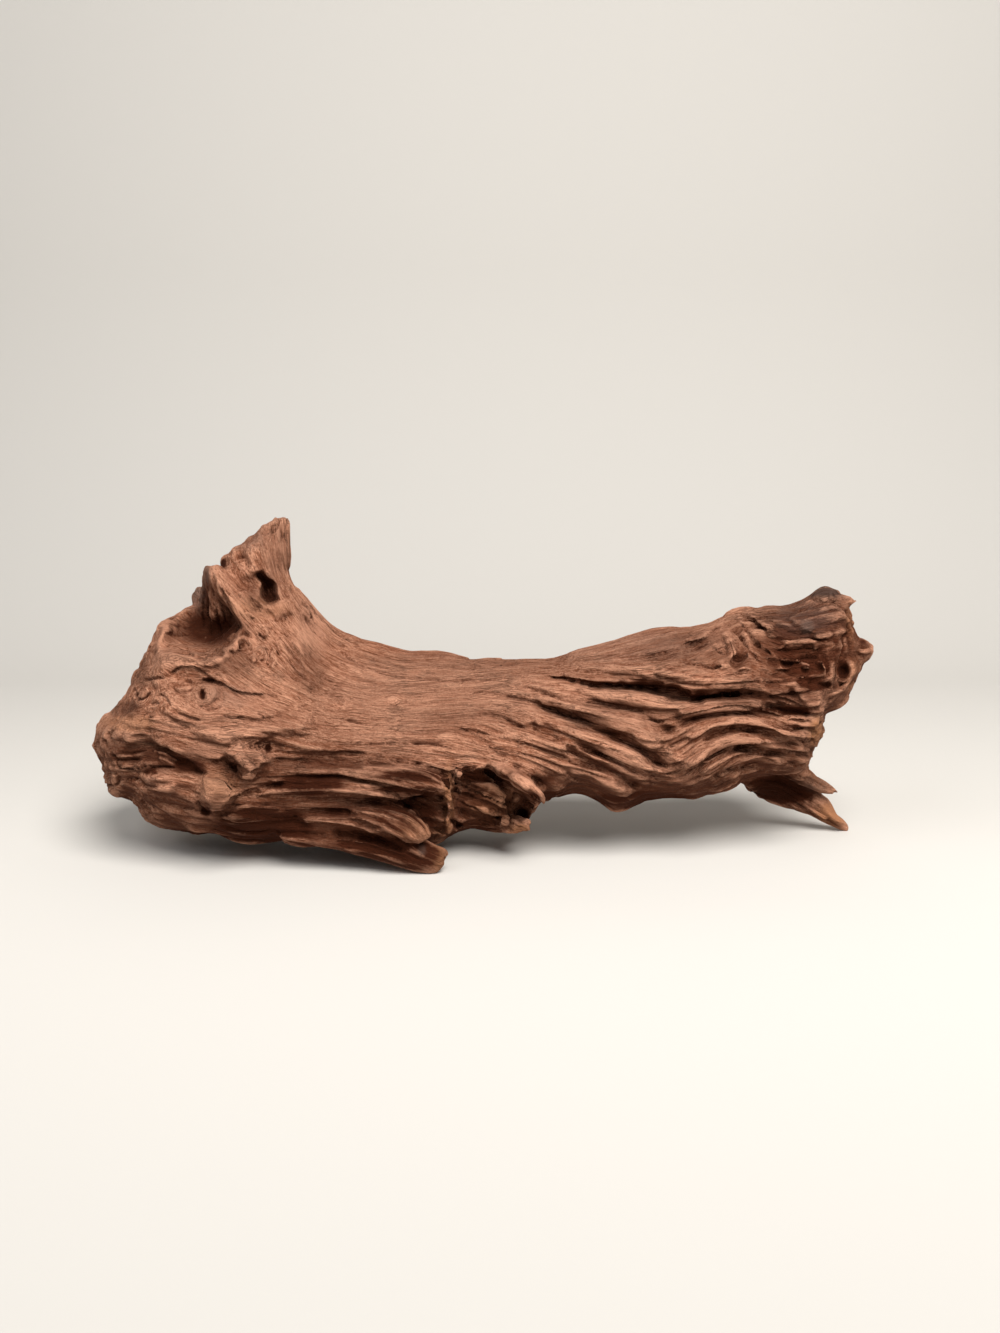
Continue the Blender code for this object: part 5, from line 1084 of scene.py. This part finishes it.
# Where the wood's colour departs from its own red-brown, and where shade and light are painted on. Patches:
# (value, a, b, half width, half height).
tintsShadeAndLight = {
    # dark: darker wood on the right lobe, and painted shade under the ledges, limbs and trunk, in the bowl
    # and holes and on the leg's inner face; above one it goes on to near-black painted shadow
    "dark": [
        (1.02, 113, 83, 22, 17), (0.5, 86, 80, 7, 10), (0.55, 72, 81, 22, 8), (0.9, 104, 66, 20, 8),
        (0.3, -20, 77, 40, 3), (0.22, -84, 118, 10, 14), (1.2, 112, 75, 12, 5), (1.5, -33, 30.2, 12, 1.4),
        (1.5, -33, 35, 12, 2.6), (0.3, 40, 57, 25, 8), (0.9, 110.6, 26.4, 4, 4), (1.1, 132.6, 83, 3, 2),
        (1.6, 103, 31, 10, 3.6), (0.4, -146, 40, 8, 14), (0.4, 92, 40, 26, 12), (0.85, -56, 17, 22, 12),
        (1.1, -34, 20, 16, 9), (0.8, -70, 37, 34, 5.4), (1.25, -40, 6, 30, 9), (0.95, -128, 41.6, 20, 5.4),
        (1.15, -113, 39, 7, 3.4), (1.1, -105, 88.6, 12, 7), (0.85, -107, 100, 3.4, 10),
        (0.3, -114, 80, 12, 4), (1.8, 102, 30, 13, 5.4), (1.3, -86, 17, 22, 8), (0.3, -118, 24, 9, 4),
        (0.8, -97, 37, 6, 4), (1.1, -98, 11, 18, 4), (0.6, -136, 59, 6, 3), (0.45, 34, 32, 20, 8),
        (1.3, 18, 26.6, 9, 3.4), (0.3, 56, 50, 10, 12), (0.6, -87, 103, 6, 8), (1.5, -84.6, 105.6, 2.6, 3),
        (0.9, -83.4, 100, 3, 3), (0.95, -6, 23, 13, 12), (1.1, -5, 35, 13, 3), (1.0, 9, 25, 3.4, 4.6),
        (1.9, -108.2, 64.6, 0.9, 1.8), (1.2, -127, 36.4, 3, 1.2), (1.8, -84.3, 45.2, 1, 1.5),
        (1.3, -119.6, 88.6, 1.2, 2.2), (1.1, -117.4, 89.6, 1.8, 0.9), (0.9, -94.2, 114.4, 1.4, 0.8),
        (1.3, -100.6, 112.4, 1.2, 2), (1.0, -109.4, 37.6, 3.4, 2.4), (1.4, -106.8, 22, 2.4, 1.8),
        (1.2, 52, 26, 26, 4.4), (0.9, 84, 30, 10, 4.4), (1.1, -34, 34, 17, 2.6), (1.3, -29, 28.6, 6, 2),
        (0.5, -69, 74, 6, 8), (0.5, -132, 73, 4, 5), (1.9, 118, 103, 8, 3.6), (1.6, 124.8, 73.4, 2.4, 3.4),
        (1.2, 114, 68.6, 9, 3.4), (0.5, -110, 24, 3, 3), (1.0, -8, 17, 13, 4), (1.4, 104, 58.6, 12, 1.6),
        (0.6, -98, 77, 8, 7), (0.3, -108, 66, 14, 5), (0.3, -119, 78, 7, 5), (0.28, -6, 55, 24, 5),
        (0.3, -45, 43, 16, 4), (1.5, -69, 32, 13, 4.6), (0.7, -70, 21, 18, 4.4), (0.7, 86, 77, 9, 5),
        (0.8, 88, 65, 15, 4.4), (0.4, 68, 55, 5, 5), (1.1, -74, 10, 11, 5), (0.5, -119, 88, 4, 6),
        (0.5, 123, 77, 5, 6), (0.5, 123, 99, 5, 5), (0.6, -42, 32, 6, 4.4), (0.4, -9, 21, 5, 5),
        (0.3, 47, 66, 10, 4), (0.7, 113, 43, 5, 4), (0.7, 46, 32, 5, 4),
    ],
    "tan": [
        (0.5, -2, 24, 9, 7), (0.8, -18.6, 24, 2.0, 13), (0.5, 117, 33, 7, 4), (1.0, 115.5, 50, 3.2, 6.4),
        (0.8, -22, 5, 3, 6), (0.9, 120.6, 21, 6, 4.4), (0.4, -102, 31, 7, 6), (0.5, -30, 16, 8, 5),
        (0.3, -88, 96, 10, 4), (0.8, 7, 15.4, 4, 2), (0.6, 127.6, 90, 2, 7), (0.4, 128.6, 70, 2, 8),
        (0.5, -135, 54, 9, 3), (0.4, -22, 13, 4, 2),
    ],
    "grey": [
        (0.5, 118, 102.6, 9, 4), (0.8, 111.5, 89.5, 2.8, 3.2), (0.4, 110, 93, 12, 7),
        (0.8, -111, 102, 3.6, 6), (0.7, -107.4, 109, 2, 5), (0.3, 45, 82, 30, 6), (0.5, 117, 32.4, 6, 3.4),
        (0.6, -28.4, 8.2, 1.4, 2), (0.4, -92, 122, 6, 5), (0.3, -98, 64, 8, 4), (0.4, -127, 33.6, 2, 1.4),
    ],
    # painted light on lit faces, the arch spike, ridges and the right end, with paler wood in places
    "paleAndPaintedLight": [
        (0.6, -25, 64, 40, 12), (0.5, -38, 52, 26, 7), (1.2, -68, 90, 6, 11), (0.6, -80, 118, 6, 14),
        (0.5, -98, 58, 20, 10), (0.6, 42, 60, 22, 8), (1.0, 0, 39, 3, 1.4), (1.0, 5, 36.4, 3, 1.5),
        (1.0, 10, 32.4, 3, 1.9), (1.0, 14.4, 27.4, 2, 2.4), (0.3, -60, 54, 26, 6), (0.5, -138, 52, 9, 6),
        (0.6, -119, 54, 8, 4), (0.9, -107, 44, 7, 3.4), (0.9, -107, 22, 6, 5), (0.6, -97, 11, 5, 4),
        (0.9, 25, 35, 5, 3), (0.6, 69, 34, 5, 4), (0.5, 112, 73, 5, 6), (0.5, 101, 44, 4, 5),
        (1.5, -103.6, 29.0, 5.6, 5.4), (0.6, 75, 59, 26, 3), (0.4, 55, 42, 12, 10), (0.5, -100, 106, 3, 6),
        (2.6, 114.6, 51.6, 4, 7), (0.2, 116.6, 33, 5, 4), (1.0, 119, 23.6, 5, 3), (0.9, 109, 64, 4, 3.4),
        (0.2, -6, 50, 12, 8), (0.7, -89, 97, 9, 5), (0.3, -98, 102, 4, 8), (0.6, -122, 31, 5, 3),
        (0.7, 116, 63, 9, 4), (0.5, 78, 86, 7, 6), (0.6, 58, 83.5, 10, 3), (0.7, 111.5, 89.5, 2.8, 3.2),
        (0.7, -34, 37.6, 16, 1.8), (0.4, 60, 71, 30, 3), (0.6, -112, 76, 16, 2.4),
        (0.5, -123.6, 84, 2.4, 8), (0.5, -90, 43, 6, 5),
    ],
}


def storeLooks(piece, across, runs):
    # grain: the grain coordinates; the tint: dark (darker wood and painted shade), tan, grey; the wear:
    # crevice (painted shade and dirt), crest, painted light with paler wood a crevice is where the point lies
    # below the mean of its neighbours, widened step by step; its darkening is partly painted shade, partly
    # dirt
    mesh = piece.data
    points, normals = pointArrays(mesh)
    a, b = seenAt(points)
    _, facing = sightAndFacing(points, normals)
    front = eased((facing + 0.15) / 0.3)
    ends = edgeEnds(mesh)
    degree = np.maximum(np.bincount(ends.ravel(), minlength=len(points)), 1)[:, None]

    def spread(values, times):
        for _ in range(times):
            total = np.zeros_like(values)
            for axis in range(values.shape[1]):
                total[:, axis] = (np.bincount(ends[:, 0], values[ends[:, 1], axis], len(points))
                                  + np.bincount(ends[:, 1], values[ends[:, 0], axis], len(points)))
            values = 0.4 * values + 0.6 * total / degree
        return values

    near = spread(points, 6)
    far = spread(near, 44)
    fineDip = np.sum((near - points) * normals, axis=1)
    broadDip = np.sum((far - points) * normals, axis=1)
    dip = spread((0.9 * fineDip + 0.55 * broadDip)[:, None], 1)[:, 0]
    crevice = eased((dip - 0.05) / 1.9)
    crest = eased((-dip - 0.03) / 1.1)
    shade = {name: patchAmount(a, b, patches) * front for name, patches in tintsShadeAndLight.items()}
    # painted shade: faces that turn down are darkened, as under light from above
    shade["dark"] = np.maximum(shade["dark"], 0.95 * eased((0.2 - normals[:, 2]) / 0.9))
    columns = {
        "grain": grainPlace(points, across, runs) / 10,
        "tintAndShade": np.stack([shade["dark"], shade["tan"], shade["grey"]], axis=1),
        "wearShadeAndLight": np.stack([crevice, crest, shade["paleAndPaintedLight"]], axis=1),
    }
    for name, values in columns.items():
        layer = mesh.attributes.new(name, "FLOAT_VECTOR", "POINT")
        layer.data.foreach_set("vector", values.astype(np.float32).ravel())


# Skins in the order of the making: (size of a square, rounds of smoothing). The first is the trunk's alone.
making = {
    "trunkSkin": (1.3, 2), "joinSkin": (1.1, 3), "carvingSkin": (0.72, 0), "fibreSkin": (0.56, 0),
    "mostTriangles": 192000,
}
across, runs = grainGrid()
print("stage: grain laid out")
body = trunkForm()
reskin(body, *making["trunkSkin"])
carveFront(body, lambda a, b: -hollowing(a, b, carving["trunkHollows"]))
forms = [body, hornForm(), limbForm("backFoot", backFoot, real=True)]
forms += [limbForm(name, stations) for name, stations in limbs.items()]
wood = meltTogether(forms, "weatheredWood")
reskin(wood, *making["joinSkin"])
reskin(wood, *making["carvingSkin"])
carveFront(wood, lambda a, b: broadRelief(a, b, carving))
carveBack(wood, lambda x, z: broadRelief(x, z, backCarving))
reskin(wood, *making["fibreSkin"])
print("stage: broad forms carved,", len(wood.data.polygons), "faces")
carveFibres(wood, across, runs)
thinOut(wood, making["mostTriangles"])
standOnFloor(wood)
dropCrumbs(wood)
storeLooks(wood, across, runs)
print("stage: fibres carved,", len(wood.data.polygons), "triangles")

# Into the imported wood's frame and metres, and held inside its box.
metresPerMillimetre = 0.001
points, _ = pointArrays(wood.data)
points[:, :2] -= sight["woodCentre"]
points = np.clip(points * metresPerMillimetre, np.array(cadLow), np.array(cadHigh))
setPoints(wood.data, points)
wood.data.polygons.foreach_set("use_smooth", np.ones(len(wood.data.polygons), bool))
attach(wood, "root")
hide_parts("driftwood")

# The finish. Colours are linear.
finish = {
    # deep: near-black for painted shadow in holes and crevices, and for specks and fissures; the dark wood
    # colour is darker wood and painted shade; the light wood colour is paler wood and painted light
    "deep": (0.029, 0.0068, 0.0022), "mid": (0.225, 0.080, 0.041), "high": (0.60, 0.298, 0.187),
    "darkWoodAndShade": (0.062, 0.0165, 0.0070), "tanWood": (0.42, 0.185, 0.085), "greyWood": (0.150, 0.095, 0.075),
    "paleAndLitWood": (0.60, 0.30, 0.192),
    # each pattern: its scale, detail and roughness, then its share in the tone
    "broadStreak": ((0.25, 2.2, 2.2), 4, 0.6, 1.1),
    "fineStreak": ((0.7, 10.0, 10.0), 4, 0.65, 2.0),
    "hairStreak": ((2.4, 22.0, 22.0), 3, 0.7, 1.9),
    "mottle": ((55, 55, 55), 4, 0.6, 0.8),
    "speck": ((1300, 1300, 1300), 2, 0.6, 0.9),
    "fissureScale": (0.45, 5.5, 5.5),
    "crestShare": 0.45, "creviceShare": 0.35, "sunkShare": 0.94, "speckShare": 0.25, "fissureShare": 0.5,
    "roughness": 0.98, "gloss": 0.06, "bump": 1.0, "bumpHeight": 0.0022,
}


def weatheredFinish():
    # streaks that follow the grain set the tone; the stored patches tint it and lay painted shade and painted
    # light on it, crevices darken it with painted shade and dirt, and crests pale it
    material = bpy.data.materials.new("weatheredWood")
    material.use_nodes = True
    nodes, links = material.node_tree.nodes, material.node_tree.links
    surface = nodes["Principled BSDF"]

    def attribute(name):
        node = nodes.new("ShaderNodeAttribute")
        node.attribute_name = name
        return node.outputs["Vector"]

    def parts(vector):
        node = nodes.new("ShaderNodeSeparateXYZ")
        links.new(vector, node.inputs[0])
        return node.outputs

    def maths(operation, *values):
        node = nodes.new("ShaderNodeMath")
        node.operation = operation
        for socket, value in zip(node.inputs, values):
            if isinstance(value, (int, float)):
                socket.default_value = value
            else:
                links.new(value, socket)
        return node.outputs[0]

    def noise(vector, stretch, detail, roughness=0.6):
        mapping = nodes.new("ShaderNodeMapping")
        mapping.inputs["Scale"].default_value = stretch
        links.new(vector, mapping.inputs["Vector"])
        node = nodes.new("ShaderNodeTexNoise")
        node.inputs["Scale"].default_value = 1.0
        node.inputs["Detail"].default_value = detail
        node.inputs["Roughness"].default_value = roughness
        links.new(mapping.outputs[0], node.inputs["Vector"])
        return node.outputs["Fac"]

    def spread(value, low, high):
        node = nodes.new("ShaderNodeMapRange")
        node.interpolation_type = "SMOOTHSTEP"
        node.inputs["From Min"].default_value = low
        node.inputs["From Max"].default_value = high
        links.new(value, node.inputs["Value"])
        return node.outputs["Result"]

    def blend(share, first, second):
        node = nodes.new("ShaderNodeMix")
        node.data_type = "RGBA"
        for socket, value in ((node.inputs[0], share), (node.inputs[6], first), (node.inputs[7], second)):
            if isinstance(value, tuple):
                socket.default_value = (*value, 1)
            elif isinstance(value, float):
                socket.default_value = value
            else:
                links.new(value, socket)
        return node.outputs[2]

    grainAt = attribute("grain")
    dark, tan, grey = parts(attribute("tintAndShade"))
    crevice, crest, paleAndPaintedLight = parts(attribute("wearShadeAndLight"))
    place = nodes.new("ShaderNodeTexCoord").outputs["Object"]
    streaks = ("broadStreak", "fineStreak", "hairStreak")
    patterns = {name: noise(grainAt, *finish[name][:3]) for name in streaks}
    patterns |= {name: noise(place, *finish[name][:3]) for name in ("mottle", "speck")}
    fineStreak, hairStreak, speck = patterns["fineStreak"], patterns["hairStreak"], patterns["speck"]
    # fissure: one along the thin lines where a stretched noise crosses its middle
    middle = maths("ABSOLUTE", maths("SUBTRACT", noise(grainAt, finish["fissureScale"], 3), 0.5))
    fissure = maths("MULTIPLY", maths("SUBTRACT", 1.0, spread(middle, 0.006, 0.045)),
                    spread(patterns["mottle"], 0.46, 0.64))

    # tone: streaks and mottling round the middle, lower in a crevice (painted shade and dirt), higher on a
    # crest
    def about(value, share):
        return maths("MULTIPLY", maths("SUBTRACT", value, 0.5), share)

    tone = maths("MULTIPLY", crest, finish["crestShare"])
    for name, pattern in patterns.items():
        tone = maths("ADD", tone, about(pattern, finish[name][3]))
    tone = maths("SUBTRACT", tone, maths("MULTIPLY", crevice, finish["creviceShare"]))
    colour = blend(spread(tone, -0.5, 0.65), finish["mid"], finish["high"])
    # painted light: these patches blend towards the pale lit wood colour
    colour = blend(maths("MULTIPLY", paleAndPaintedLight, 0.5), colour, finish["paleAndLitWood"])
    # painted shadow: dark patches above one, in holes and on the leg's shaded inner face, go on towards the
    # deep colour
    past = maths("SUBTRACT", dark, 1.0)              # patches above one go on towards the deep colour
    worn = maths("SUBTRACT", fineStreak, maths("MULTIPLY", crest, finish["crestShare"]))
    darkening = maths("MULTIPLY", dark, spread(worn, -0.25, 0.62))
    colour = blend(maths("MULTIPLY", tan, spread(fineStreak, 0.1, 0.62)), colour, finish["tanWood"])
    # the dark patches: darker wood and painted shade
    colour = blend(darkening, colour, finish["darkWoodAndShade"])
    colour = blend(maths("MAXIMUM", past, 0.0), colour, finish["deep"])
    colour = blend(maths("MULTIPLY", grey, spread(maths("ADD", fineStreak, maths("MULTIPLY", crest, 0.2)),
                                                  0.2, 0.7)), colour, finish["greyWood"])
    hatch = maths("ADD", about(fineStreak, -1.3), about(hairStreak, -1.4))
    # sunk: crevices, with painted shade, and grain hatching go towards the deep colour
    sunk = spread(maths("ADD", crevice, hatch), 0.06, 0.9)
    flecks = spread(speck, 0.62, 0.8)
    for amount, share in ((sunk, "sunkShare"), (flecks, "speckShare"), (fissure, "fissureShare")):
        colour = blend(maths("MULTIPLY", amount, finish[share]), colour, finish["deep"])
    links.new(colour, surface.inputs["Base Color"])
    roughness = maths("SUBTRACT", finish["roughness"], maths("MULTIPLY", fineStreak, 0.2))
    links.new(roughness, surface.inputs["Roughness"])
    surface.inputs["Specular IOR Level"].default_value = finish["gloss"]

    height = maths("ADD", fineStreak, maths("MULTIPLY", hairStreak, 0.5))
    height = maths("ADD", height, maths("MULTIPLY", speck, 0.22))
    height = maths("SUBTRACT", height, maths("MULTIPLY", fissure, 0.25))
    bump = nodes.new("ShaderNodeBump")
    bump.inputs["Strength"].default_value = finish["bump"]
    bump.inputs["Distance"].default_value = finish["bumpHeight"]
    links.new(height, bump.inputs["Height"])
    links.new(bump.outputs["Normal"], surface.inputs["Normal"])
    return material


wood.data.materials.clear()
wood.data.materials.append(weatheredFinish())
print("stage: finish laid on")

# The studio: a pale sweep of floor and wall, soft light from above, and the camera. Metres and watts.
studio = {
    "floorColour": (0.565, 0.548, 0.52), "wallAt": 0.62, "cove": 0.30, "reach": 4.0,
    "nearShade": 0.70, "nearFrom": -0.02, "nearTo": -0.36,       # how the floor darkens towards the lamp
    # each lamp: its place, size, power and colour, and the point it is aimed at
    "keyLight": ((0.26, -0.60, 0.91), 0.7, 21.2, (1.0, 0.97, 0.93), (0, 0, 0.05)),
    "fillLight": ((-0.55, -0.5, 0.7), 0.6, 2.5, (0.95, 0.97, 1.0), (0, 0, 0.06)),
    "worldColour": (1.0, 0.985, 0.96), "worldPower": 0.26,
    "cameraAt": (0.0078, -0.41755, 0.141), "lens": 1176 / 1333 * 36, "sensor": 36,
}


def sweepForm():
    # a profile of floor, quarter circle and wall, carried sideways
    wallAt, cove, reach = studio["wallAt"], studio["cove"], studio["reach"]
    turn = np.linspace(0, np.pi / 2, 24)
    y = np.concatenate([[-reach], wallAt - cove + cove * np.sin(turn), [wallAt]])
    z = np.concatenate([[0], cove - cove * np.cos(turn), [reach]])
    x = np.array([-reach, reach])[:, None]
    grid = np.stack(np.broadcast_arrays(x, y, z), axis=-1)
    at = np.arange(2 * len(y)).reshape(2, len(y))
    faces = np.stack([at[0, :-1], at[1, :-1], at[1, 1:], at[0, 1:]], axis=-1)
    mesh = bpy.data.meshes.new("paleSweep")
    mesh.from_pydata(grid.reshape(-1, 3).tolist(), [], faces.tolist())
    mesh.polygons.foreach_set("use_smooth", np.ones(len(mesh.polygons), bool))
    material = bpy.data.materials.new("palePaper")
    material.use_nodes = True
    surface = material.node_tree.nodes["Principled BSDF"]
    surface.inputs["Roughness"].default_value = 0.9
    # painted shade, darker towards the lamp, so that the floor looks evenly pale
    nodes, links = material.node_tree.nodes, material.node_tree.links
    place = nodes.new("ShaderNodeSeparateXYZ")
    links.new(nodes.new("ShaderNodeTexCoord").outputs["Object"], place.inputs[0])
    nearness = nodes.new("ShaderNodeMapRange")
    nearness.interpolation_type = "SMOOTHSTEP"
    nearness.inputs["From Min"].default_value = studio["nearTo"]
    nearness.inputs["From Max"].default_value = studio["nearFrom"]
    links.new(place.outputs["Y"], nearness.inputs["Value"])
    paper = nodes.new("ShaderNodeMix")
    paper.data_type = "RGBA"
    paper.inputs[6].default_value = (*[part * studio["nearShade"] for part in studio["floorColour"]], 1)
    paper.inputs[7].default_value = (*studio["floorColour"], 1)
    links.new(nearness.outputs["Result"], paper.inputs[0])
    links.new(paper.outputs[2], surface.inputs["Base Color"])
    mesh.materials.append(material)
    return linked("paleSweep", mesh)


def softLamp(name, at, size, power, colour, target):
    # a round area lamp that faces its target
    lamp = bpy.data.lights.new(name, "AREA")
    lamp.shape = "DISK"
    lamp.size = size
    lamp.energy = power
    lamp.color = colour
    holder = linked(name, lamp)
    holder.location = at
    holder.rotation_euler = (Vector(target) - Vector(at)).to_track_quat("-Z", "Y").to_euler()


sweepForm()
for name in ("keyLight", "fillLight"):
    softLamp(name, *studio[name])
world = bpy.data.worlds.new("softRoom")
world.use_nodes = True
sky = world.node_tree.nodes["Background"].inputs
sky["Color"].default_value = (*studio["worldColour"], 1)
sky["Strength"].default_value = studio["worldPower"]
bpy.context.scene.world = world
bpy.context.scene.view_settings.view_transform = "Standard"

lens = bpy.data.cameras.new("camera")
lens.lens = studio["lens"]
lens.sensor_width = studio["sensor"]
lens.clip_start = 0.01
camera = linked("camera", lens)
camera.location = studio["cameraAt"]
camera.rotation_euler = (np.radians(90 - sight["lookDown"]), 0, 0)
bpy.context.scene.camera = camera
print("stage: studio set")
